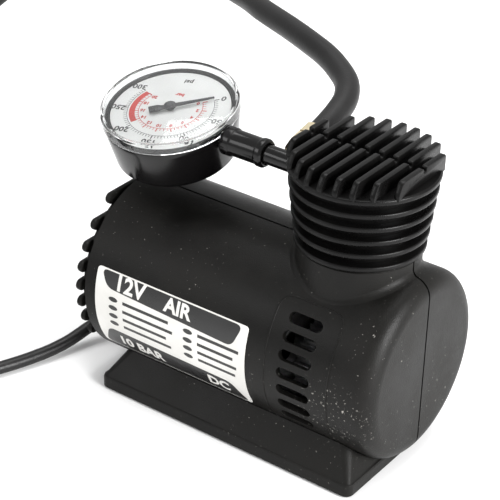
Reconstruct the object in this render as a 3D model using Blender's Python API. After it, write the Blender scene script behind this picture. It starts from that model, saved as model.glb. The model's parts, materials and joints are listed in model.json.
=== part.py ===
"""A portable 12 V tyre inflator, modelled as the separate pieces that it comes apart into.

The motor lies along X in a round two-part housing that sits in a saddle foot. It drives a crank at the
+X end, which works a piston in the upright cylinder under the finned cover. A pressure gauge stands on a
pipe from the cylinder head, and the air hose and the 12 V lead leave the back and the -X end.
The origin is the centre of the foot's bottom face, +X points to the finned cover, +Z points up, and
every size is in metres.
"""
import math

import bmesh
import bpy
from mathutils import Matrix, Vector

# Clearance between pieces that touch on the real object, and the wider one that a moving piece needs.
TOUCH_GAP = 0.0003
RUN_GAP = 0.0004

# Housing: a drum along X, split down the middle into a front and a rear shell.
DRUM_RADIUS = 0.0361
DRUM_AXIS_Z = 0.0388
DRUM_OPEN_X = -0.0640
DRUM_END_X = 0.0626
DRUM_EDGE_ROUND = 0.0070
SHELL_WALL = 0.0022
TURRET_RADIUS = 0.0223
TURRET_TOP_Z = 0.0808
RIB_PLACES_X = (-0.0300, -0.0020)
RIB_THICKNESS = 0.0018
SLOT_COUNT = 7
SLOT_FIRST_ANGLE = math.radians(36.7)
SLOT_PITCH = math.radians(11.08)
SLOT_START_X = 0.0250
SLOT_END_X = 0.0373
SLOT_WIDTH = 0.0040

# Louvred grille that closes the drum's -X end.
GRILLE_FACE_X = -0.0686
GRILLE_BAR_DEPTH = 0.0023
GRILLE_BAR_HEIGHT = 0.0046
GRILLE_BAR_COUNT = 8
GRILLE_PITCH = 0.00735
GRILLE_TOP_BAR_Z = 0.0701
GRILLE_RADIUS = 0.0364
GRILLE_RING_DEPTH = 0.0045
GRILLE_RING_WALL = 0.0020
GRILLE_SPINE_Y = 0.0140
GRILLE_SPINE_WIDTH = 0.0022

# Foot: a flat plinth whose top is hollowed to hold the drum.
FOOT_LENGTH = 0.1142
FOOT_WIDTH = 0.0721
FOOT_RIM = 0.0055
FOOT_TOP_LENGTH = 0.1000
FOOT_TOP_WIDTH = 0.0550
FOOT_TOP_Z = 0.0165
FOOT_CORNER = 0.0030
FOOT_REAR_CORNER = 0.0220
FOOT_POCKET_DEPTH = 0.0032
FOOT_POCKET_NEAR_Y = 0.0190
FOOT_POCKET_WALL = 0.0030

# Label on the front of the drum: a thin sheet between two angles above the horizontal.
LABEL_START_X = -0.0587
LABEL_END_X = 0.0105
LABEL_TOP_ANGLE = math.radians(22.0)
LABEL_LOW_ANGLE = math.radians(-35.0)
LABEL_THICKNESS = 0.0003

# Screws.
SCREW_RADIUS = 0.0014
SCREW_HEAD_RADIUS = 0.0028
SCREW_HEAD_HEIGHT = 0.0018
BOSS_WALL = 0.0018
SHELL_SCREW_PLACES = ((-0.0560, 0.0685), (0.0530, 0.0620), (-0.0450, 0.0140), (0.0480, 0.0130))
SHELL_SCREW_SEAT_Y = 0.0080
SHELL_SCREW_TIP_Y = -0.0080
FOOT_SCREW_PLACES = ((-0.0300, -0.0100), (0.0300, 0.0100))
FOOT_SCREW_TIP_Z = 0.0110

# Motor, along X.
MOTOR_RADIUS = 0.0179
MOTOR_REAR_X = -0.0450
MOTOR_FRONT_X = 0.0120
MOTOR_AXIS_Z = 0.0508
MOTOR_CAN_WALL = 0.0012
MOTOR_NOSE_RADIUS = 0.0060
MOTOR_NOSE_LENGTH = 0.0024
MOTOR_SHAFT_RADIUS = 0.0016
MAGNET_THICKNESS = 0.0030
MAGNET_START_X = -0.0340
MAGNET_END_X = 0.0040
MAGNET_HALF_ANGLE = math.radians(62.0)
AIR_GAP = 0.0006
ARMATURE_START_X = -0.0320
ARMATURE_END_X = 0.0020
ARMATURE_POLES = 5
COMMUTATOR_RADIUS = 0.0040
COMMUTATOR_START_X = -0.0430
COMMUTATOR_END_X = -0.0345
BRUSH_SIZE = (0.0040, 0.0036, 0.0040)
END_BELL_DEPTH = 0.0046
FAN_RADIUS = 0.0120
FAN_START_X = -0.0575
FAN_END_X = -0.0525
FAN_BLADES = 6

# Gears between the motor and the crank: module, teeth and place along X.
GEAR_MODULE = 0.0008
PINION_TEETH = 10
CRANK_TEETH = 44
GEAR_START_X = 0.0195
GEAR_END_X = 0.0255
CRANK_SHAFT_RADIUS = 0.0030
CRANK_SHAFT_START_X = 0.0126
BEARING_RADIUS = 0.0065
BEARING_START_X = 0.0133
BEARING_END_X = 0.0180
FRAME_START_X = 0.0150
FRAME_END_X = 0.0180
FRAME_RADIUS = 0.0332
SHELF_TOP_Z = 0.0690
SHELF_THICKNESS = 0.0030
SHELF_HALF_WIDTH = 0.0135
SHELF_END_X = 0.0500

# Crank, rod and piston. The cylinder stands upright over the crank.
CYLINDER_X = 0.0329
STROKE = 0.0140
CRANK_PIN_RADIUS = 0.0028
CRANK_PIN_END_X = 0.0372
ROD_LENGTH = 0.0533
ROD_WIDTH = 0.0060
ROD_BIG_END_RADIUS = 0.0058
ROD_SMALL_END_RADIUS = 0.0040
ROD_SHANK_WIDTH = 0.0050
WRIST_PIN_RADIUS = 0.0018
BORE_RADIUS = 0.0105
PISTON_CROWN_ABOVE_PIN = 0.0070
PISTON_HEIGHT = 0.0120
PISTON_SKIRT_WALL = 0.0022
SEAL_HEIGHT = 0.0016
SEAL_DEPTH = 0.0012
SEAL_BELOW_CROWN = 0.0018
SLEEVE_WALL = 0.0030
SLEEVE_TOP_Z = 0.0970
FLANGE_REACH = 0.0068
FLANGE_RADIUS = BORE_RADIUS + FLANGE_REACH
FLANGE_THICKNESS = 0.0045
VALVE_PLATE_THICKNESS = 0.0020
VALVE_OFFSET_X = -0.0060
VALVE_PORT_RADIUS = 0.0013
VALVE_BALL_RADIUS = 0.0017
HEAD_TOP_Z = 0.1062
HEAD_BOLT_FROM_BORE = 0.0032
HEAD_BOLT_Y = BORE_RADIUS + HEAD_BOLT_FROM_BORE
HEAD_BOLT_RADIUS = 0.0014
VALVE_CHAMBER_RADIUS = 0.0026
VALVE_CHAMBER_TOP_Z = 0.1040

# Finned cover over the cylinder.
COVER_TOP_Z = 0.1110
COVER_LOW_Z = 0.0812
COVER_CLEARANCE = 0.0008
COVER_WALL = 0.0017
COVER_ROOF = 0.0020
COVER_FLARE = 0.0036
RING_COUNT = 6
RING_THICKNESS = 0.0022
RING_DEPTH = 0.0036
COVER_LOW_RADIUS = FLANGE_RADIUS + COVER_CLEARANCE + COVER_WALL + RING_DEPTH
COVER_TOP_RADIUS = COVER_LOW_RADIUS + COVER_FLARE
FIN_COUNT = 9
FIN_PITCH = 0.00575
FIN_SHIFT_X = -0.0009
FIN_THICKNESS = 0.0022
FIN_HEIGHT = 0.0055
FIN_INSET = 0.0004
FIN_NOTCH_Y = 0.0012
FIN_NOTCH_WIDTH = 0.0030
FIN_NOTCH_DEPTH = 0.0035
FIN_END_ROUND = 0.0020

# Pipe from the head to the gauge, with the hose's branch.
PIPE_Z = 0.1014
PIPE_RADIUS = 0.0037
PIPE_BORE = 0.0012
COLLAR_RADIUS = 0.0054
COLLAR_START_X = -0.0258
PIPE_IN_COLLAR = 0.0018
PIPE_START_X = COLLAR_START_X + PIPE_IN_COLLAR
COLLAR_END_X = -0.0075
NIPPLE_RADIUS = 0.0018
NIPPLE_LENGTH = 0.0045
BRANCH_FROM_COVER = 0.0044
BRANCH_X = CYLINDER_X - COVER_TOP_RADIUS - BRANCH_FROM_COVER
BRANCH_DIRECTION = (-0.08, 1.0, 0.12)
BRANCH_RADIUS = 0.0032
BRANCH_LENGTH = 0.0060
NUT_START = 0.0065
NUT_LENGTH = 0.0130
NUT_ACROSS_FLATS = 0.0105

# Gauge, tilted about X so that its face looks forward and up.
GAUGE_TILT = math.radians(13.7)
GAUGE_RADIUS = 0.0260
GAUGE_FROM_COLLAR = 0.0004
GAUGE_FACE_CENTRE = (COLLAR_START_X - GAUGE_FROM_COLLAR - GAUGE_RADIUS, -0.0006, 0.1092)
GAUGE_DEPTH = 0.0228
GAUGE_BASE_INSET = 0.0028
GAUGE_BASE_RADIUS = GAUGE_RADIUS - GAUGE_BASE_INSET
GAUGE_WALL = 0.0020
LENS_THICKNESS = 0.0016
LENS_SKIRT = 0.0050
LENS_WALL = 0.0014
DIAL_DEPTH = 0.0046
DIAL_THICKNESS = 0.0006
DIAL_INSET = 0.0034
DIAL_RADIUS = GAUGE_RADIUS - DIAL_INSET
NEEDLE_DEPTH = 0.0029
NEEDLE_THICKNESS = 0.0006
NEEDLE_LENGTH = 0.0166
NEEDLE_TAIL = 0.0080
NEEDLE_ZERO_ANGLE = math.radians(45.0)
ARBOR_RADIUS = 0.0008
ARBOR_FOOT_DEPTH = 0.0135
SECTOR_MODULE = 0.0004
ARBOR_TEETH = 10
SECTOR_TEETH = 50
SECTOR_DEPTH = 0.0084
SECTOR_THICKNESS = 0.0012
SECTOR_PIVOT_ANGLE = math.radians(200.0)
SECTOR_FIRST_TOOTH = -8
SECTOR_LAST_TOOTH = 2
SECTOR_EYE_RADIUS = 0.0026
SECTOR_PIN_RADIUS = 0.0011
BOURDON_RADIUS = 0.0175
BOURDON_TUBE_RADIUS = 0.0015
BOURDON_DEPTH = 0.0140
BOURDON_SWEEP = math.radians(255.0)

# Air hose: its route, chosen by hand.
HOSE_DIAMETER = 0.0095
HOSE_ROUTE = (
    (-0.0001, 0.0201, 0.1038),
    (-0.0010, 0.0280, 0.1050),
    (-0.0022, 0.0360, 0.1064),
    (-0.0045, 0.0445, 0.1078),
    (-0.0098, 0.0530, 0.1093),
    (-0.0185, 0.0600, 0.1105),
    (-0.0280, 0.0658, 0.1113),
    (-0.0394, 0.0713, 0.1116),
    (-0.0540, 0.0783, 0.1114),
    (-0.0735, 0.0875, 0.1106),
    (-0.0890, 0.0960, 0.1097),
    (-0.1120, 0.1050, 0.1085),
    (-0.1370, 0.1085, 0.1070),
    (-0.1610, 0.1065, 0.1045),
    (-0.1830, 0.0985, 0.1010),
    (-0.2030, 0.0850, 0.0930),
    (-0.2170, 0.0690, 0.0770),
    (-0.2225, 0.0550, 0.0560),
    (-0.2235, 0.0430, 0.0350),
    (-0.2230, 0.0320, 0.0190),
    (-0.2217, 0.0190, 0.0107),
    (-0.2210, 0.0060, 0.0090),
    (-0.2210, -0.0060, 0.0090),
)

# Tyre-valve chuck on the hose's end, lying along -Y.
CHUCK_RADIUS = 0.0085
CHUCK_LENGTH = 0.0340
CHUCK_SOCKET_RADIUS = 0.0043
CHUCK_SOCKET_DEPTH = 0.0110
CHUCK_SEAL_LENGTH = 0.0050
CHUCK_SEAL_BORE = 0.0026
LEVER_LENGTH = 0.0300
LEVER_WIDTH = 0.0100
LEVER_THICKNESS = 0.0022
LEVER_PIVOT_FROM_FRONT = 0.0110
LEVER_PIVOT_ABOVE = 0.0035
LEVER_PIN_RADIUS = 0.0016
LEVER_CHEEK = 0.0030
LUG_RADIUS = 0.0029

# 12 V lead: its route, chosen by hand, and the coil of the length that is put away.
LEAD_DIAMETER = 0.0050
GROMMET_START = (-0.0640, -0.0005, 0.0145)
GROMMET_DIRECTION = (-0.90, -0.25, -0.30)
GROMMET_LENGTH = 0.0092
GROMMET_RADIUS = 0.0040
LEAD_ROUTE = (
    (-0.0731, -0.0030, 0.0115),
    (-0.0764, -0.0043, 0.0101),
    (-0.0792, -0.0092, 0.0082),
    (-0.0815, -0.0165, 0.0060),
    (-0.0830, -0.0235, 0.0042),
    (-0.0850, -0.0315, 0.0031),
    (-0.0880, -0.0410, 0.0026),
    (-0.0922, -0.0525, 0.0026),
    (-0.0975, -0.0640, 0.0026),
    (-0.1035, -0.0765, 0.0026),
    (-0.1075, -0.0870, 0.0026),
    (-0.1089, -0.0945, 0.0026),
)
COIL_CENTRE = (-0.1520, -0.1000)
COIL_MEAN_RADIUS = 0.0300
COIL_SIDE = 0.0210
COIL_HEIGHT = 0.0206
LEAD_END_ROUTE = (
    (-0.1905, -0.0790, 0.0160),
    (-0.1913, -0.0705, 0.0146),
    (-0.1923, -0.0615, 0.0130),
    (-0.1931, -0.0530, 0.0119),
)

# 12 V lighter plug on the lead's end, lying along +Y.
PLUG_TAIL = (-0.1932, -0.0520, 0.0118)
PLUG_GRIP_RADIUS = 0.0115
PLUG_NOSE_RADIUS = 0.0102
PLUG_LENGTH = 0.0700
PLUG_TIP_RADIUS = 0.0032
PLUG_TIP_REACH = 0.0070
PLUG_TIP_TRAVEL = 0.0030
PLUG_TIP_HIDDEN = 0.0080
CONTACT_FROM_NOSE = 0.0240
CONTACT_LENGTH = 0.0140
CONTACT_REACH = 0.0018

# Number of facets round a large and a small turned piece.
ROUND_LARGE = 36
ROUND_MEDIUM = 24
ROUND_SMALL = 12

HOUSING_SOLIDS = ("cut_cavity", "front_shell", "rear_shell")

PAINTS = {
    "moulded_black": ((0.035, 0.034, 0.032), 0.55, 0.0),
    "satin_black": ((0.022, 0.022, 0.023), 0.42, 0.0),
    "gloss_black": ((0.010, 0.010, 0.011), 0.15, 0.0),
    "rubber": ((0.020, 0.020, 0.020), 0.75, 0.0),
    "label": ((0.800, 0.800, 0.780), 0.45, 0.0),
    "clear": ((0.900, 0.920, 0.920), 0.05, 0.0),
    "dial_white": ((0.850, 0.850, 0.840), 0.50, 0.0),
    "steel": ((0.550, 0.560, 0.580), 0.35, 1.0),
    "brass": ((0.700, 0.600, 0.400), 0.30, 1.0),
    "nickel": ((0.750, 0.720, 0.640), 0.25, 1.0),
    "aluminium": ((0.600, 0.610, 0.620), 0.45, 1.0),
    "copper": ((0.600, 0.280, 0.160), 0.35, 1.0),
    "ferrite": ((0.080, 0.080, 0.085), 0.60, 0.0),
    "white_nylon": ((0.750, 0.740, 0.700), 0.50, 0.0),
    "carbon": ((0.030, 0.030, 0.032), 0.70, 0.0),
    "seal": ((0.060, 0.055, 0.050), 0.65, 0.0),
}


# ---------------------------------------------------------------- shared modelling helpers

def clear_scene():
    for old in list(bpy.data.objects):
        bpy.data.objects.remove(old, do_unlink=True)


def material(paint):
    """The Principled material of one paint, made once."""
    found = bpy.data.materials.get(paint)
    if found:
        return found
    colour, roughness, metallic = PAINTS[paint]
    made = bpy.data.materials.new(paint)
    made.use_nodes = True
    shader = made.node_tree.nodes["Principled BSDF"]
    shader.inputs["Base Color"].default_value = (*colour, 1.0)
    shader.inputs["Roughness"].default_value = roughness
    shader.inputs["Metallic"].default_value = metallic
    made.diffuse_color = (*colour, 1.0)
    return made


def object_from(bm, name, paint):
    """A linked object holding bm, with its faces pointing out."""
    bmesh.ops.recalc_face_normals(bm, faces=bm.faces)
    mesh = bpy.data.meshes.new(name)
    bm.to_mesh(mesh)
    bm.free()
    mesh.shade_smooth()
    mesh.set_sharp_from_angle(angle=math.radians(35.0))
    made = bpy.data.objects.new(name, mesh)
    made.data.materials.append(material(paint))
    bpy.context.scene.collection.objects.link(made)
    return made


def turned(name, profile, paint, facets=ROUND_MEDIUM):
    """A solid of revolution about Z from (radius, height) points.

    A profile that starts and ends on the axis is left open there; any other is closed into a ring."""
    bm = bmesh.new()
    verts = [bm.verts.new((radius, 0.0, height)) for radius, height in profile]
    edges = [bm.edges.new(pair) for pair in zip(verts, verts[1:])]
    if profile[0][0] > 0.0:
        edges.append(bm.edges.new((verts[-1], verts[0])))
    bmesh.ops.spin(bm, geom=verts + edges, axis=(0, 0, 1), cent=(0, 0, 0), steps=facets,
                   angle=math.tau, use_merge=True)
    bmesh.ops.remove_doubles(bm, verts=bm.verts, dist=1e-6)
    return object_from(bm, name, paint)


def ring(name, outer, inner, low, high, paint, facets=ROUND_MEDIUM):
    return turned(name, [(outer, low), (outer, high), (inner, high), (inner, low)], paint, facets)


def rod(name, radius, low, high, paint, facets=ROUND_SMALL):
    return turned(name, [(0.0, low), (radius, low), (radius, high), (0.0, high)], paint, facets)


def prism(name, outline, low, high, paint):
    """An outline in the XY plane, pulled up from low to high."""
    bm = bmesh.new()
    face = bm.faces.new([bm.verts.new((x, y, low)) for x, y in outline])
    raised = bmesh.ops.extrude_face_region(bm, geom=[face])
    lifted = [item for item in raised["geom"] if isinstance(item, bmesh.types.BMVert)]
    bmesh.ops.translate(bm, verts=lifted, vec=(0, 0, high - low))
    return object_from(bm, name, paint)


def block(name, low, high, paint):
    """A box between two opposite corners."""
    outline = [(low[0], low[1]), (high[0], low[1]), (high[0], high[1]), (low[0], high[1])]
    return prism(name, outline, low[2], high[2], paint)


def arc(centre, radius, start, end, count):
    """Points along an arc in a plane, ends included."""
    step = (end - start) / count
    return [(centre[0] + radius * math.cos(start + step * k), centre[1] + radius * math.sin(start + step * k))
            for k in range(count + 1)]


def aim(made, place, direction):
    """Put an object's origin at a place, with its +Z along a direction."""
    made.rotation_mode = "QUATERNION"
    made.rotation_quaternion = Vector(direction).to_track_quat("Z", "Y")
    made.location = place
    return made


def along_x(made, y=0.0, z=0.0):
    """Lay an object down so that its +Z runs along +X, its +X down and its +Y stays."""
    made.rotation_euler = (0.0, math.pi / 2, 0.0)
    made.location = (0.0, y, z)
    return made


def boolean(target, tool, operation):
    """Cut, join or keep the overlap with a tool, which then only shapes the target.

    The exact solver leaves gaps where the housing's many round walls meet, so that takes the manifold one."""
    step = target.modifiers.new(f"{operation.lower()} {tool.name}", "BOOLEAN")
    step.operation = operation
    step.solver = "MANIFOLD" if target.name in HOUSING_SOLIDS else "EXACT"
    step.object = tool
    tool.hide_render = True
    tool.display_type = "WIRE"
    return target


def cut(target, *tools):
    for tool in tools:
        boolean(target, tool, "DIFFERENCE")
    return target


def join(target, *tools):
    for tool in tools:
        boolean(target, tool, "UNION")
    return target


def gear_outline(teeth, module, centre_angle, kept=None):
    """The outline of a spur gear with a tooth's middle at centre_angle, its teeth thin enough to run free.

    A sector keeps only some teeth, counted from the one at centre_angle."""
    pitch = teeth * module / 2
    root, tip = pitch - 1.15 * module, pitch + 0.8 * module
    step = math.tau / teeth
    root_half, tip_half = 0.27 * step, 0.11 * step
    points = []
    for k in kept or range(teeth):
        middle = centre_angle + k * step
        for offset, radius in ((-root_half, root), (-tip_half, tip), (tip_half, tip), (root_half, root)):
            points.append((radius * math.cos(middle + offset), radius * math.sin(middle + offset)))
    return points


def smooth_route(points, spacing):
    """Points about spacing apart on the smooth curve that passes through a route's own points."""
    knots = [Vector(p) for p in points]
    knots = [2 * knots[0] - knots[1]] + knots + [2 * knots[-1] - knots[-2]]
    made = []
    for a, b, c, d in zip(knots, knots[1:], knots[2:], knots[3:]):
        count = max(1, round((c - b).length / spacing))
        for k in range(count):
            t = k / count
            made.append(0.5 * ((2 * b) + (c - a) * t + (2 * a - 5 * b + 4 * c - d) * t ** 2
                               + (3 * b - a - 3 * c + d) * t ** 3))
    return made + [knots[-2]]


def tube_along(name, points, diameter, paint, roundness=2, spacing=2.5):
    """A round tube with filled ends along a route; spacing is in diameters."""
    curve = bpy.data.curves.new(name, "CURVE")
    curve.dimensions = "3D"
    curve.bevel_depth = diameter / 2
    curve.bevel_resolution = roundness
    curve.use_fill_caps = True
    places = smooth_route(points, spacing * diameter)
    spline = curve.splines.new("POLY")
    spline.points.add(len(places) - 1)
    for point, place in zip(spline.points, places):
        point.co = (*place, 1.0)
    made = bpy.data.objects.new(name, curve)
    made.data.materials.append(material(paint))
    bpy.context.scene.collection.objects.link(made)
    return made


# ---------------------------------------------------------------- housing

def drum_profile(radius, start, end, edge):
    """Half outline of a drum along its axis, with a rounded edge at its far end."""
    corner = arc((radius - edge, end - edge), edge, 0.0, math.pi / 2, 4)
    return [(0.0, start), (radius, start), *corner, (0.0, end)]


def drum(name, shrink, start, facets=ROUND_LARGE):
    """A solid drum along X, smaller than the housing's outside by shrink."""
    made = turned(name, drum_profile(DRUM_RADIUS - shrink, start, DRUM_END_X - shrink,
                                     DRUM_EDGE_ROUND - shrink / 2), "moulded_black", facets)
    return along_x(made, 0.0, DRUM_AXIS_Z)


def vent_slot(index):
    """A round-ended cutter through the drum's front wall."""
    angle = SLOT_FIRST_ANGLE - index * SLOT_PITCH
    half = SLOT_WIDTH / 2
    ends = [*arc((SLOT_END_X - half, 0), half, -math.pi / 2, math.pi / 2, 5),
            *arc((SLOT_START_X + half, 0), half, math.pi / 2, 1.5 * math.pi, 5)]
    tool = prism(f"cut_vent_slot_{index + 1}", ends, DRUM_RADIUS - 3 * SHELL_WALL, DRUM_RADIUS + SHELL_WALL,
                 "moulded_black")
    tool.rotation_euler = (math.pi / 2 - angle, 0.0, 0.0)
    tool.location = (0.0, 0.0, DRUM_AXIS_Z)
    return tool


def across_y(made, x, z):
    """Stand an object so that its +Z runs along +Y."""
    made.rotation_euler = (-math.pi / 2, 0.0, 0.0)
    made.location = (x, 0.0, z)
    return made


def housing_cavity():
    """The space inside both shells: what the ribs, the screw bosses and the foot screws' posts leave free."""
    made = drum("cut_cavity", SHELL_WALL, DRUM_OPEN_X - SHELL_WALL, ROUND_MEDIUM)
    for number, place in enumerate(RIB_PLACES_X, 1):
        rib = rod(f"cut_rib_{number}", DRUM_RADIUS, place, place + RIB_THICKNESS, "moulded_black")
        cut(made, along_x(rib, 0.0, DRUM_AXIS_Z))
    motor_space = rod("join_motor_space", MOTOR_RADIUS + TOUCH_GAP, RIB_PLACES_X[0] - 2 * RIB_THICKNESS,
                      RIB_PLACES_X[-1] + 3 * RIB_THICKNESS, "moulded_black", ROUND_MEDIUM)
    well = rod("join_well", TURRET_RADIUS - SHELL_WALL, DRUM_AXIS_Z, TURRET_TOP_Z + SHELL_WALL, "moulded_black",
               ROUND_MEDIUM)
    well.location = (CYLINDER_X, 0.0, 0.0)
    join(made, along_x(motor_space, 0.0, MOTOR_AXIS_Z), well)
    boss = SCREW_HEAD_RADIUS + TOUCH_GAP + BOSS_WALL
    for number, (x, z) in enumerate(SHELL_SCREW_PLACES, 1):
        cut(made, across_y(rod(f"cut_boss_{number}", boss, -DRUM_RADIUS, DRUM_RADIUS, "moulded_black"), x, z))
    for number, (x, y) in enumerate(FOOT_SCREW_PLACES, 1):
        post = rod(f"cut_post_{number}", SCREW_RADIUS + TOUCH_GAP + BOSS_WALL, 0.0, FOOT_SCREW_TIP_Z + BOSS_WALL,
                   "moulded_black", ROUND_SMALL)
        post.location = (x, y, 0.0)
        cut(made, post)
    return made


def shell(name, side, cavity):
    """One half of the housing. side is -1 for the front (-Y) half, with the vents, and 1 for the rear half."""
    made = drum(name, 0.0, DRUM_OPEN_X)
    turret = rod(f"join_turret_{name}", TURRET_RADIUS, DRUM_AXIS_Z, TURRET_TOP_Z, "moulded_black", ROUND_LARGE)
    turret.location = (CYLINDER_X, 0.0, 0.0)
    cut(join(made, turret), cavity)
    far = 2 * DRUM_RADIUS
    near = TOUCH_GAP / 2
    y_low, y_high = (near, far) if side > 0 else (-far, -near)
    half = block(f"keep_{name}", (-far * 2, y_low, -far), (far * 2, y_high, 2 * far), "moulded_black")
    boolean(made, half, "INTERSECT")
    hole = SCREW_RADIUS + TOUCH_GAP
    for number, (x, z) in enumerate(SHELL_SCREW_PLACES, 1):
        cut(made, across_y(rod(f"cut_screw_{number}_{name}", hole, SHELL_SCREW_TIP_Y - TOUCH_GAP,
                               SHELL_SCREW_SEAT_Y + SHELL_WALL, "moulded_black", ROUND_SMALL), x, z))
        if side > 0:
            cut(made, across_y(rod(f"cut_screw_head_{number}_{name}", SCREW_HEAD_RADIUS + TOUCH_GAP,
                                   SHELL_SCREW_SEAT_Y, DRUM_RADIUS, "moulded_black", ROUND_SMALL), x, z))
    for number, (x, y) in enumerate(FOOT_SCREW_PLACES, 1):
        if y * side > 0:
            drill = rod(f"cut_foot_screw_{number}_{name}", hole, 0.0, FOOT_SCREW_TIP_Z + TOUCH_GAP,
                        "moulded_black", ROUND_SMALL)
            drill.location = (x, y, 0.0)
            cut(made, drill)
    if side < 0:
        cut(made, *[vent_slot(index) for index in range(SLOT_COUNT)])
    return made


def grille():
    """Bars across the drum's open end, on two spines and a ring that fits inside the shells."""
    back = GRILLE_FACE_X + GRILLE_BAR_DEPTH
    outer = DRUM_RADIUS - SHELL_WALL - TOUCH_GAP
    made = along_x(ring("rear_grille", outer, outer - GRILLE_RING_WALL, back - GRILLE_BAR_DEPTH / 4,
                        back + GRILLE_RING_DEPTH, "moulded_black", ROUND_LARGE), 0.0, DRUM_AXIS_Z)
    for index in range(GRILLE_BAR_COUNT):
        z = GRILLE_TOP_BAR_Z - index * GRILLE_PITCH
        nearest = min(abs(z - DRUM_AXIS_Z), GRILLE_RADIUS - GRILLE_BAR_HEIGHT / 2)
        reach = math.sqrt(GRILLE_RADIUS ** 2 - nearest ** 2)
        half = GRILLE_BAR_HEIGHT / 2
        outline = [*arc((reach - half, 0), half, -math.pi / 2, math.pi / 2, 4),
                   *arc((half - reach, 0), half, math.pi / 2, 1.5 * math.pi, 4)]
        bar = prism(f"join_bar_{index + 1}", outline, GRILLE_FACE_X, back, "moulded_black")
        bar.rotation_euler = (math.pi / 2, 0.0, math.pi / 2)
        bar.location = (0.0, 0.0, z)
        join(made, bar)
    for side in (-1, 1):
        y = side * GRILLE_SPINE_Y
        reach = math.sqrt((outer - GRILLE_RING_WALL / 2) ** 2 - GRILLE_SPINE_Y ** 2)
        spine = block(f"join_spine_{'rear' if side > 0 else 'front'}",
                      (back - GRILLE_BAR_DEPTH / 2, y - GRILLE_SPINE_WIDTH / 2, DRUM_AXIS_Z - reach),
                      (back + GRILLE_SPINE_WIDTH, y + GRILLE_SPINE_WIDTH / 2, DRUM_AXIS_Z + reach), "moulded_black")
        join(made, spine)
    passage = rod("cut_grommet_passage", GROMMET_RADIUS + TOUCH_GAP, -GROMMET_LENGTH, 2 * GROMMET_LENGTH,
                  "moulded_black", ROUND_SMALL)
    return cut(made, aim(passage, GROMMET_START, GROMMET_DIRECTION))


def foot_outline(half_x, half_y, rear_corner):
    """The foot's outline at one level: small corners in front, large ones at the back."""
    points = []
    for quarter, (sx, sy) in enumerate(((1, 1), (-1, 1), (-1, -1), (1, -1))):
        radius = rear_corner if sy > 0 else FOOT_CORNER
        corner = (sx * (half_x - radius), sy * (half_y - radius))
        points += arc(corner, radius, quarter * math.pi / 2, (quarter + 1) * math.pi / 2, 4)
    return points


def foot():
    """The plinth, with its saddle, its two pockets below and its screw holes."""
    bm = bmesh.new()
    top_corner = FOOT_REAR_CORNER - (FOOT_LENGTH - FOOT_TOP_LENGTH) / 2
    levels = ((FOOT_LENGTH, FOOT_WIDTH, FOOT_REAR_CORNER, 0.0),
              (FOOT_LENGTH, FOOT_WIDTH, FOOT_REAR_CORNER, FOOT_RIM),
              (FOOT_TOP_LENGTH, FOOT_TOP_WIDTH, top_corner, FOOT_TOP_Z))
    rings = [[bm.verts.new((x, y, z)) for x, y in foot_outline(length / 2, width / 2, corner)]
             for length, width, corner, z in levels]
    for low, high in zip(rings, rings[1:]):
        for k in range(len(low)):
            after = (k + 1) % len(low)
            bm.faces.new((low[k], low[after], high[after], high[k]))
    bm.faces.new(list(reversed(rings[0])))
    bm.faces.new(rings[-1])
    made = object_from(bm, "foot", "moulded_black")
    saddle = rod("cut_saddle", DRUM_RADIUS + TOUCH_GAP, -FOOT_LENGTH, FOOT_LENGTH, "moulded_black", ROUND_LARGE)
    cut(made, along_x(saddle, 0.0, DRUM_AXIS_Z))
    far_y = FOOT_WIDTH / 2 - FOOT_POCKET_WALL
    for name, low_y, high_y, corner in (("front", -far_y, -FOOT_POCKET_NEAR_Y, FOOT_POCKET_WALL),
                                        ("rear", FOOT_POCKET_NEAR_Y, far_y, FOOT_REAR_CORNER)):
        far_x = FOOT_LENGTH / 2 - corner
        cut(made, block(f"cut_pocket_{name}", (-far_x, low_y, -FOOT_RIM), (far_x, high_y, FOOT_POCKET_DEPTH),
                        "moulded_black"))
    for number, (x, y) in enumerate(FOOT_SCREW_PLACES, 1):
        drill = turned(f"cut_foot_screw_{number}",
                       [(0.0, -FOOT_RIM), (SCREW_HEAD_RADIUS + TOUCH_GAP, -FOOT_RIM),
                        (SCREW_HEAD_RADIUS + TOUCH_GAP, SCREW_HEAD_HEIGHT + 2 * TOUCH_GAP),
                        (SCREW_RADIUS + TOUCH_GAP, SCREW_HEAD_HEIGHT + 2 * TOUCH_GAP),
                        (SCREW_RADIUS + TOUCH_GAP, FOOT_TOP_Z), (0.0, FOOT_TOP_Z)], "moulded_black", ROUND_SMALL)
        drill.location = (x, y, 0.0)
        cut(made, drill)
    return made


def label():
    """A thin sheet bent round the front of the drum."""
    inner = DRUM_RADIUS + TOUCH_GAP / 3
    bands = 14
    outline = [*arc((0, 0), inner + LABEL_THICKNESS, LABEL_LOW_ANGLE, LABEL_TOP_ANGLE, bands),
               *arc((0, 0), inner, LABEL_TOP_ANGLE, LABEL_LOW_ANGLE, bands)]
    sheet = [(-y_out, z) for y_out, z in outline]
    made = prism("side_label", sheet, LABEL_START_X, LABEL_END_X, "label")
    made.rotation_euler = (math.pi / 2, 0.0, math.pi / 2)
    made.location = (0.0, 0.0, DRUM_AXIS_Z)
    return made


def screw(name, tip, seat):
    """A pan-head screw along Z: its tip at one height, the underside of its head at another."""
    up = 1 if seat > tip else -1
    top = seat + up * SCREW_HEAD_HEIGHT
    return turned(name, [(0.0, tip), (SCREW_RADIUS * 0.5, tip), (SCREW_RADIUS, tip + up * SCREW_RADIUS),
                         (SCREW_RADIUS, seat), (SCREW_HEAD_RADIUS, seat),
                         (SCREW_HEAD_RADIUS, (seat + top) / 2), (SCREW_HEAD_RADIUS * 0.8, top), (0.0, top)],
                  "steel", ROUND_SMALL)


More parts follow.
